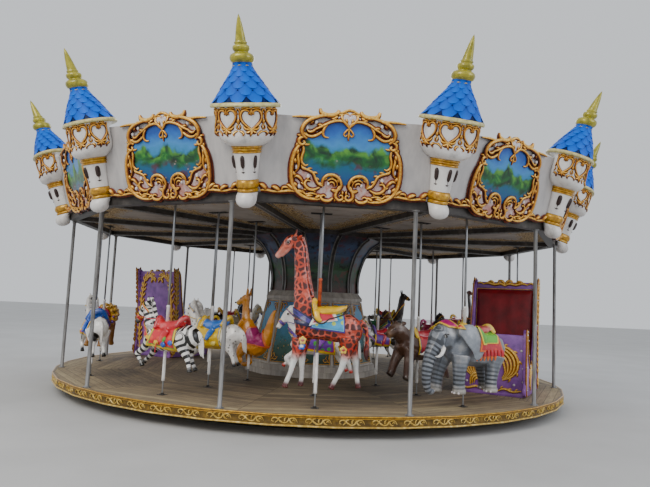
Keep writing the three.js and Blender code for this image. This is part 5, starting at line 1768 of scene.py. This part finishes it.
chariotMake = {
    "circle": 3.90,
    "boards": [((-0.64, -0.54, ride["onDeck"]), (0.63, 0.54, 0.36), 0.004),
        ((0.575, -0.58, 0.31), (0.625, 0.58, 1.34), 0.012), ((-0.59, -0.54, 0.31), (-0.06, 0.54, 0.70),
        0.01)],
    "backBoards": [((-0.03, -0.58, 0.0), (0.03, 0.58, 1.64), 0.012),
        ((-0.045, -0.58, 1.52), (0.045, 0.58, 1.655), 0.02)],
    "surround": [(-0.535, 0.07, 0.012), (0.535, 0.07, 0.012), (0.535, 1.52, 0.012), (-0.535, 1.52, 0.012)],
    "sideFans": [(-0.42, -0.05, 0.62), (0.0, -0.01, 0.72)],
    "sideThick": 0.055,
    "half": 0.60,
    "side": mm([(-640, 330), (620, 330), (660, 560), (640, 1350), (560, 1350), (470, 1000), (250, 760),
        (0, 760), (-220, 980), (-400, 1500), (-520, 2150), (-600, 2300), (-700, 2320), (-690, 2150),
        (-620, 1500), (-600, 900)]),
    "fan": mm([[(60, 1020, 20), (120, 1110, 26), (250, 1120, 32), (380, 1040, 34), (460, 890, 34),
        (440, 730, 30), (340, 620, 24), (210, 560, 14)], [(20, 900, 18), (50, 965, 22), (110, 975, 26),
        (170, 930, 28), (220, 850, 28), (245, 760, 26), (250, 680, 22), (200, 600, 12)]]),
    "strands": 5,
    "shell": mm([(-340, 440, 14), (-330, 560, 26), (-250, 640, 30), (-150, 620, 28), (-100, 530, 24),
        (-120, 440, 14)]),
    "shellMiddle": mm((-220, 490)),
    "shellShares": (1.0, 0.72, 0.42),
    "foot": mm([(120, 370, 14), (240, 420, 26), (380, 380, 26), (520, 410, 16)]),
    "bud": mm([(170, 1140, 20), (170, 1210, 28), (170, 1260, 10)]),
    "pearls": mm([(555, 1290), (515, 1080), (545, 780), (545, 560), (400, 500), (0, 800), (0, 620)]),
    "crest": mm([
        [(0, 2220, 26), (80, 2260, 34), (200, 2240, 34), (320, 2270, 30), (420, 2240, 16)],
        [(0, 2240, 20), (50, 2310, 30), (120, 2315, 22), (130, 2275, 12)],
        [(200, 2260, 12), (260, 2310, 26), (330, 2290, 12)],
        [(400, 2240, 12), (480, 2280, 24), (520, 2250, 12)],
    ]),
    "border": mm([(440, 340, 30), (490, 620, 36), (500, 1000, 38), (480, 1400, 38), (440, 1800, 36),
        (380, 2080, 34), (260, 2200, 28), (140, 2170, 20), (120, 2100, 12)]),
    "rear": mm([(-660, 360, 20), (-630, 900, 26), (-645, 1500, 28), (-700, 2100, 30), (-720, 2300, 24)]),
    "lean": 3.0,
    "backAt": (-0.545, 0.64),
}


# Strands between the first and the last stroke of a pair.
def strandsOf(pair, count):
    made = []
    for index in range(count):
        share = index / (count - 1)
        made.append([tuple(a + (b - a) * share for a, b in zip(first, last)) for first, last in zip(*pair)])
    return made


def echoed(stroke, middle, shares):
    made = []
    for share in shares:
        made.append([(middle[0] + (u - middle[0]) * share, middle[1] + (z - middle[1]) * share,
            r * (0.55 + 0.45 * share)) for u, z, r in stroke])
    return made


# Strokes of (across, up, radius) as a carving on an upright plane of X and Z, raised to one side.
def carving(strokes, side=1, flat=0.75):
    mesh = tubes([[(u, 0.0, z, r) for u, z, r in stroke] for stroke in strokes], 2, 3)
    for vertex in mesh.vertices:
        vertex.co.y *= flat
    mesh.update()
    # Painted highlights where the carving faces its raised side and up, painted shade elsewhere.
    setPaintedShading(mesh, lambda point: Vector((0.0, 0.95 * side, 0.3)), -1.0)
    return mesh


def paddedPanel(name, low, high, axis, swell, place, sections):
    bm = bmesh.new()
    bmesh.ops.create_cube(bm, size=1.0)
    low, high = Vector(low), Vector(high)
    bmesh.ops.scale(bm, vec=high - low, verts=bm.verts)
    bmesh.ops.translate(bm, vec=(low + high) / 2, verts=bm.verts)
    bmesh.ops.subdivide_edges(bm, edges=bm.edges[:], cuts=15, use_grid_fill=True)
    others = [index for index in range(3) if index != axis]
    middle = (low + high) / 2
    half = (high - low) / 2
    for vertex in bm.verts:
        reach = [(vertex.co[i] - middle[i]) / half[i] for i in others]
        dome = (1 - abs(reach[0]) ** 4) * (1 - abs(reach[1]) ** 4)
        channel = abs(math.sin((reach[0] + 1) / 2 * sections * math.pi)) ** 0.5
        push = swell * dome * (0.45 + 0.55 * channel)
        vertex.co[axis] += math.copysign(push, vertex.co[axis] - middle[axis]) - math.copysign(
            half[axis] * 0.45 * (1 - dome), vertex.co[axis] - middle[axis])
    mesh = meshOf(bm)
    made = addPiece(name, placed(joined([(mesh, redLeather)]), place), "turntable")


def makeChariot(name, bay):
    make = chariotMake
    place = bayPlace(bay, make["circle"])
    forward = Matrix.Rotation(math.radians(90), 4, "Z")
    lean = (Matrix.Translation((make["backAt"][0], 0, make["backAt"][1]))
        @ Matrix.Rotation(-math.radians(make["lean"]), 4, "Y"))
    parts = []

    def carve(strokes, side, at, flat=0.75):
        parts.append((placed(carving(strokes, side, flat), at), goldCarving))

    def leafed(stroke):
        return [stroke] + leavesOn(stroke, 1, 20, 0.10) + leavesOn(stroke, -1, 20, 0.10)

    fan = strandsOf(make["fan"], make["strands"])
    fan += leavesOn(make["fan"][0], 1, 6, 0.07)
    for side in (-1, 1):
        y = side * make["half"]
        onSide = Matrix.Translation((0, y, 0))
        low, high = sorted((y, y - side * make["sideThick"]))
        parts.append((flatShape(make["side"], low, high, 3, 0.008), purplePaint))
        path = smoothPath(make["side"][1:] + make["side"][:1], 3)
        carve([[(x, z, 0.022) for x, z in path]], side, onSide)
        for x, z in path[2:-2:2]:
            parts.append((ball((x, y + side * 0.018, z), (0.014, 0.012, 0.014), 4), pearlWhite))
        carve([[(x + 0.04, z, r) for x, z, r in stroke] for stroke in leafed(make["rear"])], side, onSide)
        for ahead, rise, size in make["sideFans"]:
            carve([[(u * size, z * size, r * size) for u, z, r in stroke] for stroke in fan
                + [make["bud"]]], side, Matrix.Translation((ahead, y, rise)))
    for low, high, bevel in make["boards"]:
        parts.append((boxMesh(low, high, bevel), purplePaint))
    for low, high, bevel in make["backBoards"]:
        parts.append((placed(boxMesh(low, high, bevel), lean), purplePaint))
    shell = echoed(make["shell"], make["shellMiddle"], make["shellShares"])
    front = mirroredStrokes(fan + [make["foot"], make["bud"]]) + shell + leavesOn(make["foot"], 1, 3, 0.06)
    carve(front, -1, Matrix.Translation((0.63, 0, 0)) @ forward)
    carve(mirroredStrokes(make["crest"]), -1, Matrix.Translation((-0.575, 0, 0)) @ forward, 1.0)
    border = [[(u, z - make["backAt"][1], r) for u, z, r in stroke]
        for stroke in mirroredStrokes(leafed(make["border"]))]
    carve(border, 1, lean @ Matrix.Translation((-0.034, 0, 0)) @ forward)
    surround = make["surround"]
    for ends in zip(surround, surround[1:] + surround[:1]):
        carve([list(ends)], -1, lean @ Matrix.Translation((0.035, 0, 0)) @ forward)
    for u, z in make["pearls"]:
        for side in (-1, 1):
            parts.append((ball((0.632, side * u, z), (0.018, 0.022, 0.022), 5), pearlWhite))
    addPiece(name + "_shell", placed(joined(parts), place), "turntable", [name])
    paddedPanel(name + "_seat", (-0.50, -0.53, 0.70), (-0.05, 0.53, 0.80), 2, 0.03, place, 3)
    paddedPanel(name + "_back", (0.03, -0.52, 0.10), (0.09, 0.52, 1.50), 0, 0.02, place @ lean, 4)


makeChariot("chariot_right", 2)
makeChariot("chariot_left", -4)

print("hub")

hubMake = {
    "inset": 0.05,
    "strip": [(1.275, 0.52, 0.034), (1.008, 1.765, 0.032)],
    "ribHighlight": (0.034, 0.014),
    "low": 0.5004,
    "bottomRadius": 1.28,
    "topRadius": 1.01,
    "top": 1.78,
    "ribs": mm([(955, 1955, 26), (940, 2150, 28), (968, 2400, 30), (1065, 2700, 32), (1220, 2920, 34),
        (1400, 3045, 30)]),
    "corner": mm([
        [(0, 30, 12), (50, 50, 16), (100, 40, 16), (130, 80, 10), (100, 100, 8)],
        [(0, 50, 12), (20, 120, 16), (0, 190, 12), (40, 220, 8)],
        [(30, 60, 10), (80, 110, 14), (60, 160, 8)],
    ]),
}

# Pale grey enamel of the plinth, cap and corner strips, with drips and grime.
hubGrey = mottled("pale_grey_enamel", [(0.3, "#8a837b"), (0.5, "#aaa39a"), (0.75, "#c2bcb3")], 3.0, 6.0,
    0.6, stretch=(3.0, 3.0, 0.5), bump=(0.15, 0.004), Roughness=0.5)

# Painted sheet with blue sky over dark shrubs and water, in soft vertical strokes.
hubPainting, add, shader = newMaterial("hub_garden_painting", Roughness=0.5, Coat_Weight=0.15)
local = add("Attribute", output="Vector", attribute_name="local")
up = add("SeparateXYZ", local, output="Z")
warp = add("TexNoise", local, 4.0, 5.0, 0.55)
height = add("ADD", up, add("MULTIPLY", add("SUBTRACT", warp, 0.5), 0.5))
ground = add("ValToRGB", add("DIVIDE", height, 1.3), stops=[(0.05, "#1d3a2c"), (0.25, "#2c5a4a"),
    (0.42, "#2a7484"), (0.62, "#3f88b4"), (0.85, "#5a9cc8"), (1.0, "#44709c")])
leaves = add("TexNoise", local, 16.0, 5.0, 0.6, Distortion=1.2)
ground = add("Mix", add("MULTIPLY", add("MapRange", leaves, 0.55, 0.62), add("MapRange", height, 0.75,
    0.35)), ground, colour("#14301f"), data_type="RGBA")
petals = add("TexVoronoi", local, 14.0)
ground = add("Mix", add("MULTIPLY", add("LESS_THAN", petals, 0.18), add("MapRange", height, 0.6,
    0.3)), ground, colour("#b8862c"), data_type="RGBA")
finish(add, shader, ground, leaves, 0.15, 0.002)

dress("hub_plinth", hubGrey)
dress("hub_cap", hubGrey)
dress("hub_drum", hubGrey)

# Panels of the hub's flared top: dusk colours of garden, wall and sky, brushed wet into wet, under grime.
dusk, add, shader = newMaterial("dusk_garden_painting", Roughness=0.45, Coat_Weight=0.2)
up = add("SeparateXYZ", places(add), output="Z")
warp = add("TexNoise", places(add), 3.0, 4.0, 0.6)
height = add("ADD", up, add("MULTIPLY", add("SUBTRACT", warp, 0.5), 0.5))
tones = add("ValToRGB", add("MapRange", height, 1.95, 3.06), stops=[(0.05, "#4a2a20"), (0.2, "#2a3a2a"),
    (0.4, "#2f5a34"), (0.55, "#3a4a58"), (0.75, "#4a5f80"), (1.0, "#3a3844")])
blots = add("TexNoise", places(add), 7.0, 4.0, 0.6)
tones = add("Mix", add("MULTIPLY", add("MapRange", blots, 0.56, 0.62), 0.7), tones,
    colour("#6b2a28"), data_type="RGBA")
finish(add, shader, add("Mix", add("MapRange", blots, 0.42, 0.34), tones, colour("#1c1a1c"),
    data_type="RGBA"))
dress("hub_flare", dusk)

drop = hubMake["top"] - hubMake["low"]
drumLean = math.atan((hubMake["bottomRadius"] - hubMake["topRadius"]) * math.cos(halfBay) / drop)
drumTall = drop / math.cos(drumLean)
inset = hubMake["inset"]
sheetTop = drumTall - inset
for index in range(12):
    base = (station(30 * index, hubMake["bottomRadius"] * math.cos(halfBay), hubMake["low"])
        @ Matrix.Rotation(drumLean, 4, "X"))
    wide = hubMake["bottomRadius"] * math.sin(halfBay) - 0.05
    narrow = hubMake["topRadius"] * math.sin(halfBay) - 0.045
    corners = [(-wide, inset), (wide, inset), (narrow, sheetTop), (-narrow, sheetTop)]
    sheet = flatShape(corners, 0.001, 0.010, 1)
    setLocal(sheet, (index * 1.7, index * 0.9, 0.0))
    strokes = []
    for side in (1, -1):
        strokes += [[(side * (wide - u), 0.010, inset + z, r) for u, z, r in stroke]
            for stroke in hubMake["corner"]]
        strokes += [[(side * (narrow - u), 0.010, sheetTop - z, r) for u, z, r in stroke]
            for stroke in hubMake["corner"]]
    for ends in ((0, 1), (3, 2), (0, 3), (1, 2)):
        strokes.append([(corners[end][0], 0.008, corners[end][1], 0.010) for end in ends])
    scrolls = tubes(strokes, 1, 3)
    # Painted highlights where the scrolls face outward and a little up, painted shade elsewhere.
    setPaintedShading(scrolls, lambda point: Vector((0.0, 0.95, 0.3)))
    addPiece("hub_picture_%02d" % (index + 1),
        placed(joined([(sheet, hubPainting), (scrolls, goldCarving)]), base), "turntable")

ribs = [[tuple(radial(15 + 30 * index, r, z)) + (thick,) for r, z, thick in hubMake["ribs"]]
    for index in range(12)]
ribMesh = tubes(ribs, 2, 4)
# Pale grey lines along both sides of each dark rib, as painted highlights on its edges.
ribHighlightLines = []
aside, thin = hubMake["ribHighlight"]
for path in ribs:
    for side in (-1, 1):
        across = Vector((path[0][0], path[0][1], 0)).normalized().cross(Vector((0, 0, 1))) * aside * side
        ribHighlightLines.append([(x + across.x, y + across.y, z, thin) for x, y, z, r in path])
addPiece("hub_ribs", joined([(ribMesh, darkFrame), (tubes(ribHighlightLines, 2, 4), poleGrey)]),
    "turntable")
strips = []
for index in range(12):
    strips.append([tuple(radial(15 + 30 * index, r, z)) + (thick,) for r, z, thick in hubMake["strip"]])
addPiece("hub_corner_strips", joined([(tubes(strips, 2, 1), hubGrey)]), "turntable")

# Pale strips along the edges of the beams as painted highlights, and dark frames round the slots of the
# rods.
roofMake = {"reach": (1.41, 4.78), "strips": [(0.035, 3.072, 0.008), (0.035 + 0.075, 3.160 - 0.008,
    0.006)], "slotHalf": (0.15, 0.034), "slotEdge": (0.02, 0.022), "ceiling": 3.160}
strips = []
for index in range(12):
    turn = station(15 + 30 * index, 0.0)
    for side in (-1, 1):
        for offset, height, radius in roofMake["strips"]:
            ends = [turn @ Vector((side * offset, reach, height)) for reach in roofMake["reach"]]
            strips.append([tuple(end) + (radius,) for end in ends])
addPiece("roof_edge_highlight_strips", joined([(tubes(strips, 2, 1), poleGrey)]), "turntable")
slotFrames = []
wide, deep = roofMake["slotHalf"]
wider, deeper = wide + roofMake["slotEdge"][0], deep + roofMake["slotEdge"][1]
for place in seats:
    for low, high in (((-wider, deep), (wider, deeper)), ((-wider, -deeper), (wider, -deep)),
            ((-wider, -deep), (-wide, deep)), ((wide, -deep), (wider, deep))):
        bar = boxMesh(low + (roofMake["ceiling"] - 0.012,), high + (roofMake["ceiling"],), 0.002)
        slotFrames.append((placed(bar, place), groundBlack))
addPiece("roof_slot_frames", joined(slotFrames), "turntable")
